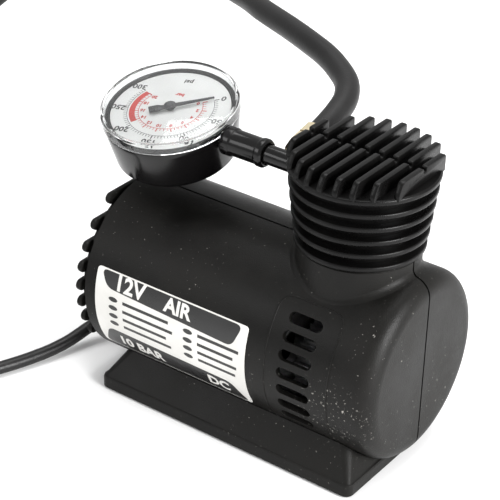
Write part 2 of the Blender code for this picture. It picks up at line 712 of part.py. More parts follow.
def screws():
    for number, (x, z) in enumerate(SHELL_SCREW_PLACES, 1):
        across_y(screw(f"shell_screw_{number}", SHELL_SCREW_TIP_Y, SHELL_SCREW_SEAT_Y + TOUCH_GAP), x, z)
    for number, (x, y) in enumerate(FOOT_SCREW_PLACES, 1):
        made = screw(f"foot_screw_{number}", FOOT_SCREW_TIP_Z, SCREW_HEAD_HEIGHT + TOUCH_GAP)
        made.location = (x, y, 0.0)


# ---------------------------------------------------------------- motor

def motor():
    """The can with its magnets, brushes and end bell, which stand still."""
    inside = MOTOR_RADIUS - MOTOR_CAN_WALL
    nose = MOTOR_FRONT_X + MOTOR_NOSE_LENGTH
    hole = MOTOR_SHAFT_RADIUS + RUN_GAP
    along_x(turned("motor_can", [
        (MOTOR_RADIUS, MOTOR_REAR_X), (MOTOR_RADIUS, MOTOR_FRONT_X - 0.0015), (MOTOR_RADIUS - 0.0015, MOTOR_FRONT_X),
        (MOTOR_NOSE_RADIUS, MOTOR_FRONT_X), (MOTOR_NOSE_RADIUS, nose), (hole, nose),
        (hole, MOTOR_FRONT_X - MOTOR_CAN_WALL), (inside, MOTOR_FRONT_X - MOTOR_CAN_WALL), (inside, MOTOR_REAR_X)],
        "steel"), 0.0, MOTOR_AXIS_Z)
    outer = inside - TOUCH_GAP
    for name, facing in (("magnet_front", -math.pi / 2), ("magnet_rear", math.pi / 2)):
        start, end = facing - MAGNET_HALF_ANGLE, facing + MAGNET_HALF_ANGLE
        outline = arc((0, 0), outer, start, end, 14) + arc((0, 0), outer - MAGNET_THICKNESS, end, start, 14)
        along_x(prism(name, outline, MAGNET_START_X, MAGNET_END_X, "ferrite"), 0.0, MOTOR_AXIS_Z)
    bell_end = MOTOR_REAR_X - TOUCH_GAP
    along_x(turned("motor_end_bell", [
        (hole, bell_end - END_BELL_DEPTH - 0.0020), (MOTOR_NOSE_RADIUS, bell_end - END_BELL_DEPTH - 0.0020),
        (MOTOR_NOSE_RADIUS, bell_end - END_BELL_DEPTH), (MOTOR_RADIUS - 0.0010, bell_end - END_BELL_DEPTH),
        (MOTOR_RADIUS, bell_end - END_BELL_DEPTH + 0.0010), (MOTOR_RADIUS, bell_end),
        (hole, bell_end)], "white_nylon"), 0.0, MOTOR_AXIS_Z)
    length, width, height = BRUSH_SIZE
    middle = (COMMUTATOR_START_X + COMMUTATOR_END_X) / 2
    for name, side in (("brush_upper", 1), ("brush_lower", -1)):
        near, far = (side * (COMMUTATOR_RADIUS + TOUCH_GAP + extra) for extra in (0.0, height))
        made = block(name, (-length / 2, -width / 2, min(near, far)), (length / 2, width / 2, max(near, far)),
                     "carbon")
        made.location = (middle, 0.0, MOTOR_AXIS_Z)


def rotor():
    """The shaft and what turns with it."""
    hole = MOTOR_SHAFT_RADIUS + TOUCH_GAP
    along_x(rod("motor_shaft", MOTOR_SHAFT_RADIUS, FAN_START_X - 0.0010, GEAR_END_X + 0.0006, "steel"),
            0.0, MOTOR_AXIS_Z)
    inside = MOTOR_RADIUS - MOTOR_CAN_WALL - TOUCH_GAP - MAGNET_THICKNESS - AIR_GAP
    step = math.tau / ARMATURE_POLES
    outline = []
    for pole in range(ARMATURE_POLES):
        middle = pole * step
        outline += arc((0, 0), inside, middle - 0.40 * step, middle + 0.40 * step, 6)
        outline += [(0.42 * inside * math.cos(middle + 0.5 * step), 0.42 * inside * math.sin(middle + 0.5 * step))]
    core = prism("armature", outline, ARMATURE_START_X, ARMATURE_END_X, "copper")
    bore = rod("cut_armature_bore", hole, ARMATURE_START_X - hole, ARMATURE_END_X + hole, "copper")
    along_x(cut(core, bore), 0.0, MOTOR_AXIS_Z)
    along_x(bore, 0.0, MOTOR_AXIS_Z)
    along_x(ring("commutator", COMMUTATOR_RADIUS, hole, COMMUTATOR_START_X, COMMUTATOR_END_X, "copper",
                 ROUND_SMALL), 0.0, MOTOR_AXIS_Z)
    pinion = prism("pinion", gear_outline(PINION_TEETH, GEAR_MODULE, 0.0), GEAR_START_X, GEAR_END_X, "brass")
    bore = rod("cut_pinion_bore", hole, GEAR_START_X - hole, GEAR_END_X + hole, "brass")
    along_x(cut(pinion, bore), 0.0, MOTOR_AXIS_Z)
    along_x(bore, 0.0, MOTOR_AXIS_Z)
    fan = rod("cooling_fan", FAN_RADIUS * 0.32, FAN_START_X, FAN_END_X, "white_nylon")
    tools = []
    for blade in range(FAN_BLADES):
        vane = block(f"join_vane_{blade + 1}", (FAN_RADIUS * 0.2, -0.0005, FAN_START_X + 0.0005),
                     (FAN_RADIUS, 0.0005, FAN_END_X - 0.0005), "white_nylon")
        turn = Matrix.Rotation(blade * math.tau / FAN_BLADES, 4, "Z")
        vane.data.transform(turn)
        tools.append(along_x(vane, 0.0, MOTOR_AXIS_Z))
    join(fan, *tools)
    bore = rod("cut_fan_bore", hole, FAN_START_X - hole, FAN_END_X + hole, "white_nylon")
    along_x(cut(fan, bore), 0.0, MOTOR_AXIS_Z)
    along_x(bore, 0.0, MOTOR_AXIS_Z)


# ---------------------------------------------------------------- crank drive

GEAR_DISTANCE = GEAR_MODULE * (PINION_TEETH + CRANK_TEETH) / 2
CRANK_AXIS_Z = MOTOR_AXIS_Z - GEAR_DISTANCE
CRANK_PIN_Z = CRANK_AXIS_Z - STROKE / 2
WRIST_PIN_Z = CRANK_PIN_Z + ROD_LENGTH
ROD_START_X = CYLINDER_X - ROD_WIDTH / 2
ROD_END_X = CYLINDER_X + ROD_WIDTH / 2


def gear_frame():
    """The bulkhead that holds the motor's nose and the crank's bearing, with the cylinder's shelf."""
    made = along_x(rod("gear_frame", FRAME_RADIUS, FRAME_START_X, FRAME_END_X, "aluminium", ROUND_LARGE),
                   0.0, DRUM_AXIS_Z)
    shelf = block("join_shelf", (FRAME_START_X, -SHELF_HALF_WIDTH, SHELF_TOP_Z - SHELF_THICKNESS),
                  (SHELF_END_X, SHELF_HALF_WIDTH, SHELF_TOP_Z), "aluminium")
    join(made, shelf)
    reach = FRAME_START_X - SHELF_THICKNESS, FRAME_END_X + SHELF_THICKNESS
    passage = rod("cut_rod_passage", BORE_RADIUS + TOUCH_GAP, SHELF_TOP_Z - 2 * SHELF_THICKNESS,
                  SHELF_TOP_Z + SHELF_THICKNESS, "aluminium")
    passage.location = (CYLINDER_X, 0.0, 0.0)
    sleeve_room = rod("cut_sleeve_room", BORE_RADIUS + SLEEVE_WALL + TOUCH_GAP, SHELF_TOP_Z,
                      DRUM_AXIS_Z + FRAME_RADIUS + SHELF_THICKNESS, "aluminium", ROUND_MEDIUM)
    sleeve_room.location = (CYLINDER_X, 0.0, 0.0)
    cut(made, passage, sleeve_room,
        along_x(rod("cut_bearing_seat", BEARING_RADIUS + TOUCH_GAP, *reach, "aluminium"), 0.0, CRANK_AXIS_Z),
        along_x(rod("cut_shaft_passage", MOTOR_NOSE_RADIUS + TOUCH_GAP, *reach, "aluminium"), 0.0, MOTOR_AXIS_Z))
    for name, side in (("front", -1), ("rear", 1)):
        cut(made, along_x(rod(f"cut_window_{name}", 0.0075, *reach, "aluminium"), side * 0.0190, DRUM_AXIS_Z))
    return made


def crank():
    """The bearing, and the shaft and gear that turn in it."""
    bore = CRANK_SHAFT_RADIUS + TOUCH_GAP
    along_x(ring("crank_bearing", BEARING_RADIUS, bore, BEARING_START_X, BEARING_END_X, "steel"), 0.0, CRANK_AXIS_Z)
    along_x(rod("crank_shaft", CRANK_SHAFT_RADIUS, CRANK_SHAFT_START_X, GEAR_END_X, "steel"), 0.0, CRANK_AXIS_Z)
    first = math.pi + math.pi / CRANK_TEETH
    gear = prism("crank_gear", gear_outline(CRANK_TEETH, GEAR_MODULE, first), GEAR_START_X, GEAR_END_X,
                 "white_nylon")
    hole = rod("cut_crank_gear_bore", bore, GEAR_START_X - bore, GEAR_END_X + bore, "white_nylon")
    along_x(cut(gear, hole), 0.0, CRANK_AXIS_Z)
    along_x(hole, 0.0, CRANK_AXIS_Z)


def connecting_rod():
    """The rod, which swings on the wrist pin, and the crank pin that it carries."""
    shank = ROD_SHANK_WIDTH / 2
    outline = [*arc((0, -ROD_LENGTH), ROD_BIG_END_RADIUS, math.radians(115), math.radians(425), 22),
               *arc((0, 0), ROD_SMALL_END_RADIUS, math.radians(-50), math.radians(230), 14)]
    made = prism("con_rod", outline, ROD_START_X, ROD_END_X, "aluminium")
    for name, radius, height in (("crank", CRANK_PIN_RADIUS, -ROD_LENGTH), ("wrist", WRIST_PIN_RADIUS, 0.0)):
        hole = rod(f"cut_{name}_eye", radius + TOUCH_GAP, ROD_START_X - shank, ROD_END_X + shank, "aluminium",
                   ROUND_SMALL)
        hole.location = (0.0, height, 0.0)
        hole.parent = made
        cut(made, hole)
    made.rotation_euler = (math.pi / 2, 0.0, math.pi / 2)
    made.location = (0.0, 0.0, WRIST_PIN_Z)
    along_x(rod("crank_pin", CRANK_PIN_RADIUS, GEAR_END_X + 2 * RUN_GAP, CRANK_PIN_END_X, "steel"),
            0.0, CRANK_PIN_Z)
    return made


def piston():
    """The piston with its seal and wrist pin, at the bottom of its stroke."""
    crown = PISTON_CROWN_ABOVE_PIN
    foot_z = crown - PISTON_HEIGHT
    radius = BORE_RADIUS - 2 * TOUCH_GAP
    groove_top = crown - SEAL_BELOW_CROWN
    groove_low = groove_top - SEAL_HEIGHT - 2 * TOUCH_GAP
    root = radius - SEAL_DEPTH - TOUCH_GAP
    hollow = radius - PISTON_SKIRT_WALL
    roof = WRIST_PIN_RADIUS + ROD_SMALL_END_RADIUS / 2
    body = turned("piston", [
        (0.0, crown), (radius, crown), (radius, groove_top), (root, groove_top), (root, groove_low),
        (radius, groove_low), (radius, foot_z), (hollow, foot_z), (hollow, ROD_SMALL_END_RADIUS + RUN_GAP),
        (0.0, ROD_SMALL_END_RADIUS + RUN_GAP)], "aluminium", ROUND_MEDIUM)
    body.location = (CYLINDER_X, 0.0, WRIST_PIN_Z)
    pin_reach = radius - roof / 3
    hole = along_x(rod("cut_wrist_hole", WRIST_PIN_RADIUS + TOUCH_GAP, -2 * radius, 2 * radius, "aluminium"))
    hole.parent = body
    cut(body, hole)
    pin = along_x(rod("wrist_pin", WRIST_PIN_RADIUS, -pin_reach, pin_reach, "steel"))
    pin.parent = body
    seal = ring("piston_seal", BORE_RADIUS - TOUCH_GAP, root + TOUCH_GAP, groove_low + TOUCH_GAP,
                groove_top - TOUCH_GAP, "seal")
    seal.parent = body
    return body


def cylinder():
    """Everything fixed between the shelf and the cover, stacked on the cylinder's axis."""
    low = SHELF_TOP_Z + TOUCH_GAP
    outer = BORE_RADIUS + SLEEVE_WALL
    sleeve = ring("cylinder_sleeve", outer, BORE_RADIUS, low, SLEEVE_TOP_Z, "aluminium")
    flange = ring("join_flange", FLANGE_RADIUS, BORE_RADIUS + SLEEVE_WALL / 2, SLEEVE_TOP_Z - FLANGE_THICKNESS,
                  SLEEVE_TOP_Z, "aluminium")
    flange.parent = sleeve
    join(sleeve, flange)
    plate_low = SLEEVE_TOP_Z + TOUCH_GAP
    plate_top = plate_low + VALVE_PLATE_THICKNESS
    plate = rod("valve_plate", FLANGE_RADIUS, plate_low, plate_top, "steel", ROUND_MEDIUM)
    for name, offset in (("outlet", VALVE_OFFSET_X), ("inlet", -VALVE_OFFSET_X)):
        port = rod(f"cut_{name}_port", VALVE_PORT_RADIUS, plate_low - VALVE_PLATE_THICKNESS,
                   plate_top + VALVE_PLATE_THICKNESS, "steel", ROUND_SMALL)
        port.location = (offset, 0.0, 0.0)
        port.parent = plate
        cut(plate, port)
    head_low = plate_top + TOUCH_GAP
    head = rod("cylinder_head", FLANGE_RADIUS, head_low, HEAD_TOP_Z, "aluminium", ROUND_MEDIUM)
    chamber = rod("cut_valve_chamber", VALVE_CHAMBER_RADIUS, head_low - TOUCH_GAP, VALVE_CHAMBER_TOP_Z, "aluminium",
                  ROUND_SMALL)
    chamber.location = (VALVE_OFFSET_X, 0.0, 0.0)
    outlet = rod("cut_outlet", NIPPLE_RADIUS + TOUCH_GAP, -FLANGE_RADIUS - NIPPLE_LENGTH, VALVE_OFFSET_X,
                 "aluminium", ROUND_SMALL)
    along_x(outlet, 0.0, PIPE_Z)
    for tool in (chamber, outlet):
        tool.parent = head
        cut(head, tool)
    bolt_seat = HEAD_TOP_Z + TOUCH_GAP
    bolt_tip = SLEEVE_TOP_Z - FLANGE_THICKNESS - 2 * HEAD_BOLT_RADIUS
    for number, y in enumerate((-HEAD_BOLT_Y, HEAD_BOLT_Y), 1):
        for target in (sleeve, plate, head):
            drill = rod(f"cut_bolt_{number}_{target.name}", HEAD_BOLT_RADIUS + TOUCH_GAP, bolt_tip - TOUCH_GAP,
                        HEAD_TOP_Z + FLANGE_THICKNESS, "aluminium", ROUND_SMALL)
            drill.location = (0.0, y, 0.0)
            drill.parent = target
            cut(target, drill)
        bolt = turned(f"head_bolt_{number}", [
            (0.0, bolt_tip), (HEAD_BOLT_RADIUS, bolt_tip), (HEAD_BOLT_RADIUS, bolt_seat),
            (SCREW_HEAD_RADIUS, bolt_seat), (SCREW_HEAD_RADIUS, bolt_seat + SCREW_HEAD_HEIGHT),
            (0.0, bolt_seat + SCREW_HEAD_HEIGHT)], "steel", ROUND_SMALL)
        bolt.location = (CYLINDER_X, y, 0.0)
    ball_z = plate_top + math.sqrt(VALVE_BALL_RADIUS ** 2 - VALVE_PORT_RADIUS ** 2) + TOUCH_GAP
    ball = turned("outlet_ball", [(VALVE_BALL_RADIUS * math.sin(a), -VALVE_BALL_RADIUS * math.cos(a))
                                  for a in (math.pi * k / 6 for k in range(7))], "steel", ROUND_SMALL)
    ball.location = (CYLINDER_X + VALVE_OFFSET_X, 0.0, ball_z)
    for made in (sleeve, plate, head):
        made.location = (CYLINDER_X, 0.0, 0.0)


# ---------------------------------------------------------------- finned cover

def cover_radius(z):
    """The outside radius of the cover's rings at a height."""
    share = (z - COVER_LOW_Z) / (COVER_TOP_Z - COVER_LOW_Z)
    return COVER_LOW_RADIUS + share * (COVER_TOP_RADIUS - COVER_LOW_RADIUS)


def finned_cover():
    """A tapered stack of rings with upright fins across its top, hollow below."""
    pitch = (COVER_TOP_Z - COVER_LOW_Z - RING_THICKNESS) / (RING_COUNT - 1)
    profile = []
    for index in range(RING_COUNT):
        low = COVER_LOW_Z + index * pitch
        high = low + RING_THICKNESS
        edge = cover_radius((low + high) / 2)
        root = edge - RING_DEPTH
        points = [(root, low), (edge, low), (edge, high), (root, high)]
        profile += points[1 if index == 0 else 0:3 if index == RING_COUNT - 1 else 4]
    roof = COVER_TOP_Z - COVER_ROOF
    inner_top = cover_radius(roof) - RING_DEPTH - COVER_WALL
    inner_low = cover_radius(COVER_LOW_Z) - RING_DEPTH - COVER_WALL
    profile += [(0.0, COVER_TOP_Z)]
    profile = [(0.0, roof), (inner_top, roof), (inner_low, COVER_LOW_Z)] + profile
    made = turned("head_cover", profile, "satin_black", 30)
    for index in range(FIN_COUNT):
        offset = (index - (FIN_COUNT - 1) / 2) * FIN_PITCH + FIN_SHIFT_X
        reach = math.sqrt((COVER_TOP_RADIUS - FIN_INSET) ** 2 - offset ** 2)
        top = COVER_TOP_Z + FIN_HEIGHT
        low = COVER_TOP_Z - COVER_ROOF / 2
        outline = [(-reach, low), (reach, low), *arc((reach - FIN_END_ROUND, top - FIN_END_ROUND), FIN_END_ROUND,
                                                      0.0, math.pi / 2, 3),
                   *arc((FIN_END_ROUND - reach, top - FIN_END_ROUND), FIN_END_ROUND, math.pi / 2, math.pi, 3)]
        fin = prism(f"join_fin_{index + 1}", outline, offset - FIN_THICKNESS / 2, offset + FIN_THICKNESS / 2,
                    "satin_black")
        fin.rotation_euler = (math.pi / 2, 0.0, math.pi / 2)
        fin.parent = made
        join(made, fin)
    notch_low = COVER_TOP_Z + FIN_HEIGHT - FIN_NOTCH_DEPTH
    notch = block("cut_fin_notch", (-COVER_TOP_RADIUS, FIN_NOTCH_Y - FIN_NOTCH_WIDTH / 2, notch_low),
                  (COVER_TOP_RADIUS, FIN_NOTCH_Y + FIN_NOTCH_WIDTH / 2, COVER_TOP_Z + 2 * FIN_HEIGHT), "satin_black")
    passage = along_x(rod("cut_pipe_passage", PIPE_RADIUS + TOUCH_GAP, -1.2 * COVER_TOP_RADIUS, -0.5 * COVER_LOW_RADIUS,
                          "satin_black"), 0.0, PIPE_Z)
    for tool in (notch, passage):
        tool.parent = made
        cut(made, tool)
    made.location = (CYLINDER_X, 0.0, 0.0)
    return made


# ---------------------------------------------------------------- air line

def pipe():
    """The pipe from the head to the gauge, the collar over it, and the hose's branch and nut."""
    shoulder = CYLINDER_X - FLANGE_RADIUS - TOUCH_GAP
    along_x(turned("gauge_pipe", [
        (PIPE_BORE, PIPE_START_X), (PIPE_RADIUS, PIPE_START_X), (PIPE_RADIUS, shoulder), (NIPPLE_RADIUS, shoulder),
        (NIPPLE_RADIUS, shoulder + NIPPLE_LENGTH), (PIPE_BORE, shoulder + NIPPLE_LENGTH)], "gloss_black",
        ROUND_SMALL), 0.0, PIPE_Z)
    direction = Vector(BRANCH_DIRECTION).normalized()
    base = Vector((BRANCH_X, 0.0, PIPE_Z))
    bore = PIPE_RADIUS + TOUCH_GAP
    along_x(turned("gauge_collar", [
        (bore, COLLAR_START_X), (COLLAR_RADIUS, COLLAR_START_X), (COLLAR_RADIUS, COLLAR_END_X - 0.0010),
        (COLLAR_RADIUS - 0.0008, COLLAR_END_X), (bore, COLLAR_END_X)], "gloss_black", ROUND_SMALL), 0.0, PIPE_Z)
    start = PIPE_RADIUS + BRANCH_RADIUS / 2
    tail = NUT_START + NUT_LENGTH
    fitting = turned("hose_fitting", [
        (PIPE_BORE, start), (BRANCH_RADIUS, start), (BRANCH_RADIUS, NUT_START - TOUCH_GAP),
        (NIPPLE_RADIUS, NUT_START - TOUCH_GAP), (NIPPLE_RADIUS, tail - TOUCH_GAP), (PIPE_BORE, tail - TOUCH_GAP)],
        "gloss_black", ROUND_SMALL)
    aim(fitting, base, direction)
    tube_along("air_hose", HOSE_ROUTE, HOSE_DIAMETER, "rubber", 3, 2.0)
    nut = ring("hose_nut", NUT_ACROSS_FLATS / math.sqrt(3), NIPPLE_RADIUS + TOUCH_GAP, NUT_START, tail, "nickel", 6)
    aim(nut, base, direction)


def chuck():
    """The tyre-valve chuck with its lock lever and rubber seal, in line with the hose's end."""
    end = Vector(HOSE_ROUTE[-1])
    back = -TOUCH_GAP
    front = back - CHUCK_LENGTH
    socket = front + CHUCK_SOCKET_DEPTH
    body = turned("chuck_body", [
        (0.0, back), (HOSE_DIAMETER / 2, back), (CHUCK_RADIUS, back - 0.0060), (CHUCK_RADIUS, front + 0.0015),
        (CHUCK_RADIUS - 0.0015, front), (CHUCK_SOCKET_RADIUS, front), (CHUCK_SOCKET_RADIUS, socket),
        (0.0, socket)], "nickel", ROUND_MEDIUM)
    body.rotation_euler = (-math.pi / 2, 0.0, 0.0)
    body.location = end
    lug_x = LEVER_WIDTH / 2 - LEVER_THICKNESS
    pivot_y = front + LEVER_PIVOT_FROM_FRONT
    pivot_z = CHUCK_RADIUS + LEVER_PIVOT_ABOVE
    outline = [(pivot_y - LUG_RADIUS, 0.6 * CHUCK_RADIUS), (pivot_y + LUG_RADIUS, 0.6 * CHUCK_RADIUS),
               *arc((pivot_y, pivot_z), LUG_RADIUS, 0.0, math.pi, 8)]
    lug = prism("join_lug", outline, -lug_x + TOUCH_GAP, lug_x - TOUCH_GAP, "nickel")
    lug.rotation_euler = (math.pi / 2, 0.0, math.pi / 2)
    lug.location = end
    pin_hole = along_x(rod("cut_lever_pin", LEVER_PIN_RADIUS + TOUCH_GAP, -LEVER_WIDTH, LEVER_WIDTH, "nickel",
                           ROUND_SMALL))
    pin_hole.location = end + Vector((0.0, pivot_y, pivot_z))
    cut(join(body, lug), pin_hole)
    seal_end = socket - TOUCH_GAP
    seal = ring("chuck_seal", CHUCK_SOCKET_RADIUS - TOUCH_GAP, CHUCK_SEAL_BORE, seal_end - CHUCK_SEAL_LENGTH,
                seal_end, "rubber", ROUND_SMALL)
    seal.rotation_euler = (-math.pi / 2, 0.0, 0.0)
    seal.location = end
    lever = rod("chuck_lever", LEVER_PIN_RADIUS, -LEVER_WIDTH / 2, LEVER_WIDTH / 2, "steel", ROUND_SMALL)
    along_x(lever)
    lever.location = end + Vector((0.0, pivot_y, pivot_z))
    cheek = LEVER_CHEEK
    plate_low = cheek + TOUCH_GAP
    arm = block("join_arm", (-LEVER_WIDTH / 2, -cheek, plate_low),
                (LEVER_WIDTH / 2, LEVER_LENGTH - cheek, plate_low + LEVER_THICKNESS), "steel")
    arm.location = lever.location
    join(lever, arm)
    for name, low_x in (("left", -LEVER_WIDTH / 2), ("right", lug_x)):
        side = block(f"join_cheek_{name}", (low_x, -cheek, -LEVER_PIN_RADIUS - 2 * TOUCH_GAP),
                     (low_x + LEVER_THICKNESS, cheek, plate_low + LEVER_THICKNESS / 2), "steel")
        side.location = lever.location
        join(lever, side)


# ---------------------------------------------------------------- gauge

def gauge():
    """The gauge's case, lens, dial, needle and works, built about the middle of its face."""
    frame = bpy.data.objects.new("gauge_frame", None)
    bpy.context.scene.collection.objects.link(frame)
    frame.location = GAUGE_FACE_CENTRE
    frame.rotation_euler = (GAUGE_TILT, 0.0, 0.0)
    rim_z = -LENS_SKIRT - TOUCH_GAP
    skirt_inside = GAUGE_RADIUS - LENS_WALL
    lip = skirt_inside - TOUCH_GAP
    inside_top = lip - 0.0012
    floor = -GAUGE_DEPTH
    inside_low = GAUGE_BASE_RADIUS - GAUGE_WALL
    rim = GAUGE_RADIUS - 0.0006
    case = turned("gauge_case", [
        (0.0, floor), (GAUGE_BASE_RADIUS - 0.0020, floor), (GAUGE_BASE_RADIUS - 0.0006, floor + 0.0006),
        (GAUGE_BASE_RADIUS, floor + 0.0020), (rim, rim_z - 0.0015), (rim, rim_z), (lip, rim_z),
        (lip, rim_z + LENS_SKIRT / 3), (inside_top, rim_z + LENS_SKIRT / 3), (inside_low, floor + GAUGE_WALL),
        (0.0, floor + GAUGE_WALL)], "gloss_black", ROUND_LARGE)
    centre_post = ring("join_centre_post", 0.0026, ARBOR_RADIUS + TOUCH_GAP, floor + GAUGE_WALL / 2,
                       -SECTOR_DEPTH - SECTOR_THICKNESS - 4 * TOUCH_GAP, "gloss_black", ROUND_SMALL)
    distance = SECTOR_MODULE * (ARBOR_TEETH + SECTOR_TEETH) / 2
    pivot = (distance * math.cos(SECTOR_PIVOT_ANGLE), distance * math.sin(SECTOR_PIVOT_ANGLE))
    pivot_post = rod("join_pivot_post", SECTOR_PIN_RADIUS, floor + GAUGE_WALL / 2, -SECTOR_DEPTH + 0.0010, "gloss_black", 12)
    pivot_post.location = (*pivot, 0.0)
    pivot_seat = rod("join_pivot_seat", 0.0017, floor + GAUGE_WALL / 2,
                     -SECTOR_DEPTH - SECTOR_THICKNESS - TOUCH_GAP, "gloss_black", 12)
    pivot_seat.location = (*pivot, 0.0)
    for tool in (centre_post, pivot_seat, pivot_post):
        tool.parent = frame
        join(case, tool)
    wall_hole = along_x(rod("cut_case_inlet", PIPE_RADIUS + TOUCH_GAP, GAUGE_FACE_CENTRE[0] + GAUGE_BASE_RADIUS / 2,
                            COLLAR_START_X + GAUGE_WALL, "gloss_black"), 0.0, PIPE_Z)
    cut(case, wall_hole)
    lens = turned("gauge_lens", [
        (0.0, 0.0), (GAUGE_RADIUS - 0.0008, 0.0), (GAUGE_RADIUS, -0.0008), (GAUGE_RADIUS, -LENS_SKIRT),
        (skirt_inside, -LENS_SKIRT), (skirt_inside, -LENS_THICKNESS), (0.0, -LENS_THICKNESS)], "clear",
        ROUND_LARGE)
    dial = ring("gauge_dial", DIAL_RADIUS, ARBOR_RADIUS + RUN_GAP, -DIAL_DEPTH - DIAL_THICKNESS, -DIAL_DEPTH,
                "dial_white", ROUND_MEDIUM)
    hub = 0.0022
    tip = 0.0003
    outline = [(NEEDLE_LENGTH, -tip), (NEEDLE_LENGTH, tip), (hub, 0.0008), *arc((0, 0), hub, 0.6, math.pi - 0.6, 6),
               (-NEEDLE_TAIL, 0.0016), (-NEEDLE_TAIL, -0.0016), *arc((0, 0), hub, math.pi + 0.6, math.tau - 0.6, 6),
               (hub, -0.0008)]
    needle = prism("gauge_needle", outline, -NEEDLE_DEPTH - NEEDLE_THICKNESS, -NEEDLE_DEPTH, "carbon")
    needle.rotation_euler = (0.0, 0.0, NEEDLE_ZERO_ANGLE)
    arbor = rod("needle_arbor", ARBOR_RADIUS, -ARBOR_FOOT_DEPTH, -NEEDLE_DEPTH - NEEDLE_THICKNESS - TOUCH_GAP,
                "brass", 12)
    teeth = prism("join_arbor_teeth", gear_outline(ARBOR_TEETH, SECTOR_MODULE, SECTOR_PIVOT_ANGLE),
                  -SECTOR_DEPTH - SECTOR_THICKNESS, -SECTOR_DEPTH, "brass")
    teeth.parent = frame
    join(arbor, teeth)
    facing = SECTOR_PIVOT_ANGLE - math.pi + math.pi / SECTOR_TEETH
    tooth_step = math.tau / SECTOR_TEETH
    eye = arc((0, 0), SECTOR_EYE_RADIUS, facing + (SECTOR_LAST_TOOTH + 3) * tooth_step,
              facing + (SECTOR_FIRST_TOOTH - 3) * tooth_step + math.tau, 10)
    kept = range(SECTOR_FIRST_TOOTH, SECTOR_LAST_TOOTH + 1)
    sector = prism("sector_gear", eye + gear_outline(SECTOR_TEETH, SECTOR_MODULE, facing, kept),
                   -SECTOR_DEPTH - SECTOR_THICKNESS, -SECTOR_DEPTH, "brass")
    sector.location = (*pivot, 0.0)
    hole = rod("cut_sector_eye", SECTOR_PIN_RADIUS + RUN_GAP, -SECTOR_DEPTH - 2 * SECTOR_THICKNESS,
               SECTOR_THICKNESS - SECTOR_DEPTH, "brass", 12)
    hole.parent = sector
    cut(sector, hole)
    for made in (case, lens, dial, needle, arbor, sector):
        made.parent = frame
    bourdon(frame)


def bourdon(frame):
    """The curved pressure tube, on the socket that the pipe feeds through the case's wall."""
    bm = bmesh.new()
    section = [bm.verts.new((BOURDON_RADIUS + x, 0.0, y - BOURDON_DEPTH))
               for x, y in arc((0, 0), BOURDON_TUBE_RADIUS, 0.0, math.tau * 7 / 8, 7)]
    face = bm.faces.new(section)
    bmesh.ops.spin(bm, geom=[face], axis=(0, 0, 1), cent=(0, 0, 0), steps=22, angle=BOURDON_SWEEP)
    tube = object_from(bm, "join_bourdon_tube", "brass")
    tube.parent = frame
    near = BOURDON_RADIUS - 0.0030
    far = BOURDON_RADIUS + 0.0026
    made = block("bourdon_tube", (near, -0.0045, -BOURDON_DEPTH - 0.0025), (far, 0.0035, -DIAL_DEPTH - 0.0014),
                 "brass")
    made.parent = frame
    neck_start = GAUGE_FACE_CENTRE[0] + BOURDON_RADIUS
    neck = along_x(rod("join_inlet_neck", NIPPLE_RADIUS, neck_start, PIPE_START_X - TOUCH_GAP, "brass"), 0.0, PIPE_Z)
    return join(made, tube, neck)


# ---------------------------------------------------------------- lead and plug

def lead():
    """The grommet, the lead's open stretches and the solid of its coil."""
    grommet = turned("cord_grommet", [
        (0.0, -0.0010), (GROMMET_RADIUS, -0.0010), (GROMMET_RADIUS, 0.55 * GROMMET_LENGTH),
        (LEAD_DIAMETER / 2 + 0.0008, GROMMET_LENGTH), (0.0, GROMMET_LENGTH)], "rubber", ROUND_SMALL)
    aim(grommet, GROMMET_START, GROMMET_DIRECTION)
    tube_along("power_cord", LEAD_ROUTE, LEAD_DIAMETER, "rubber")
    half = COIL_SIDE / 2
    round_off = 0.3 * COIL_HEIGHT
    coil = turned("cord_coil", [
        (COIL_MEAN_RADIUS + half, round_off), (COIL_MEAN_RADIUS + half, COIL_HEIGHT - round_off),
        (COIL_MEAN_RADIUS + half - round_off, COIL_HEIGHT), (COIL_MEAN_RADIUS - half + round_off, COIL_HEIGHT),
        (COIL_MEAN_RADIUS - half, COIL_HEIGHT - round_off), (COIL_MEAN_RADIUS - half, round_off),
        (COIL_MEAN_RADIUS - half + round_off, 0.0001), (COIL_MEAN_RADIUS + half - round_off, 0.0001)], "rubber",
        ROUND_MEDIUM)
    coil.location = (*COIL_CENTRE, 0.0)
    tube_along("power_cord_end", LEAD_END_ROUTE, LEAD_DIAMETER, "rubber", 2, 1.5)


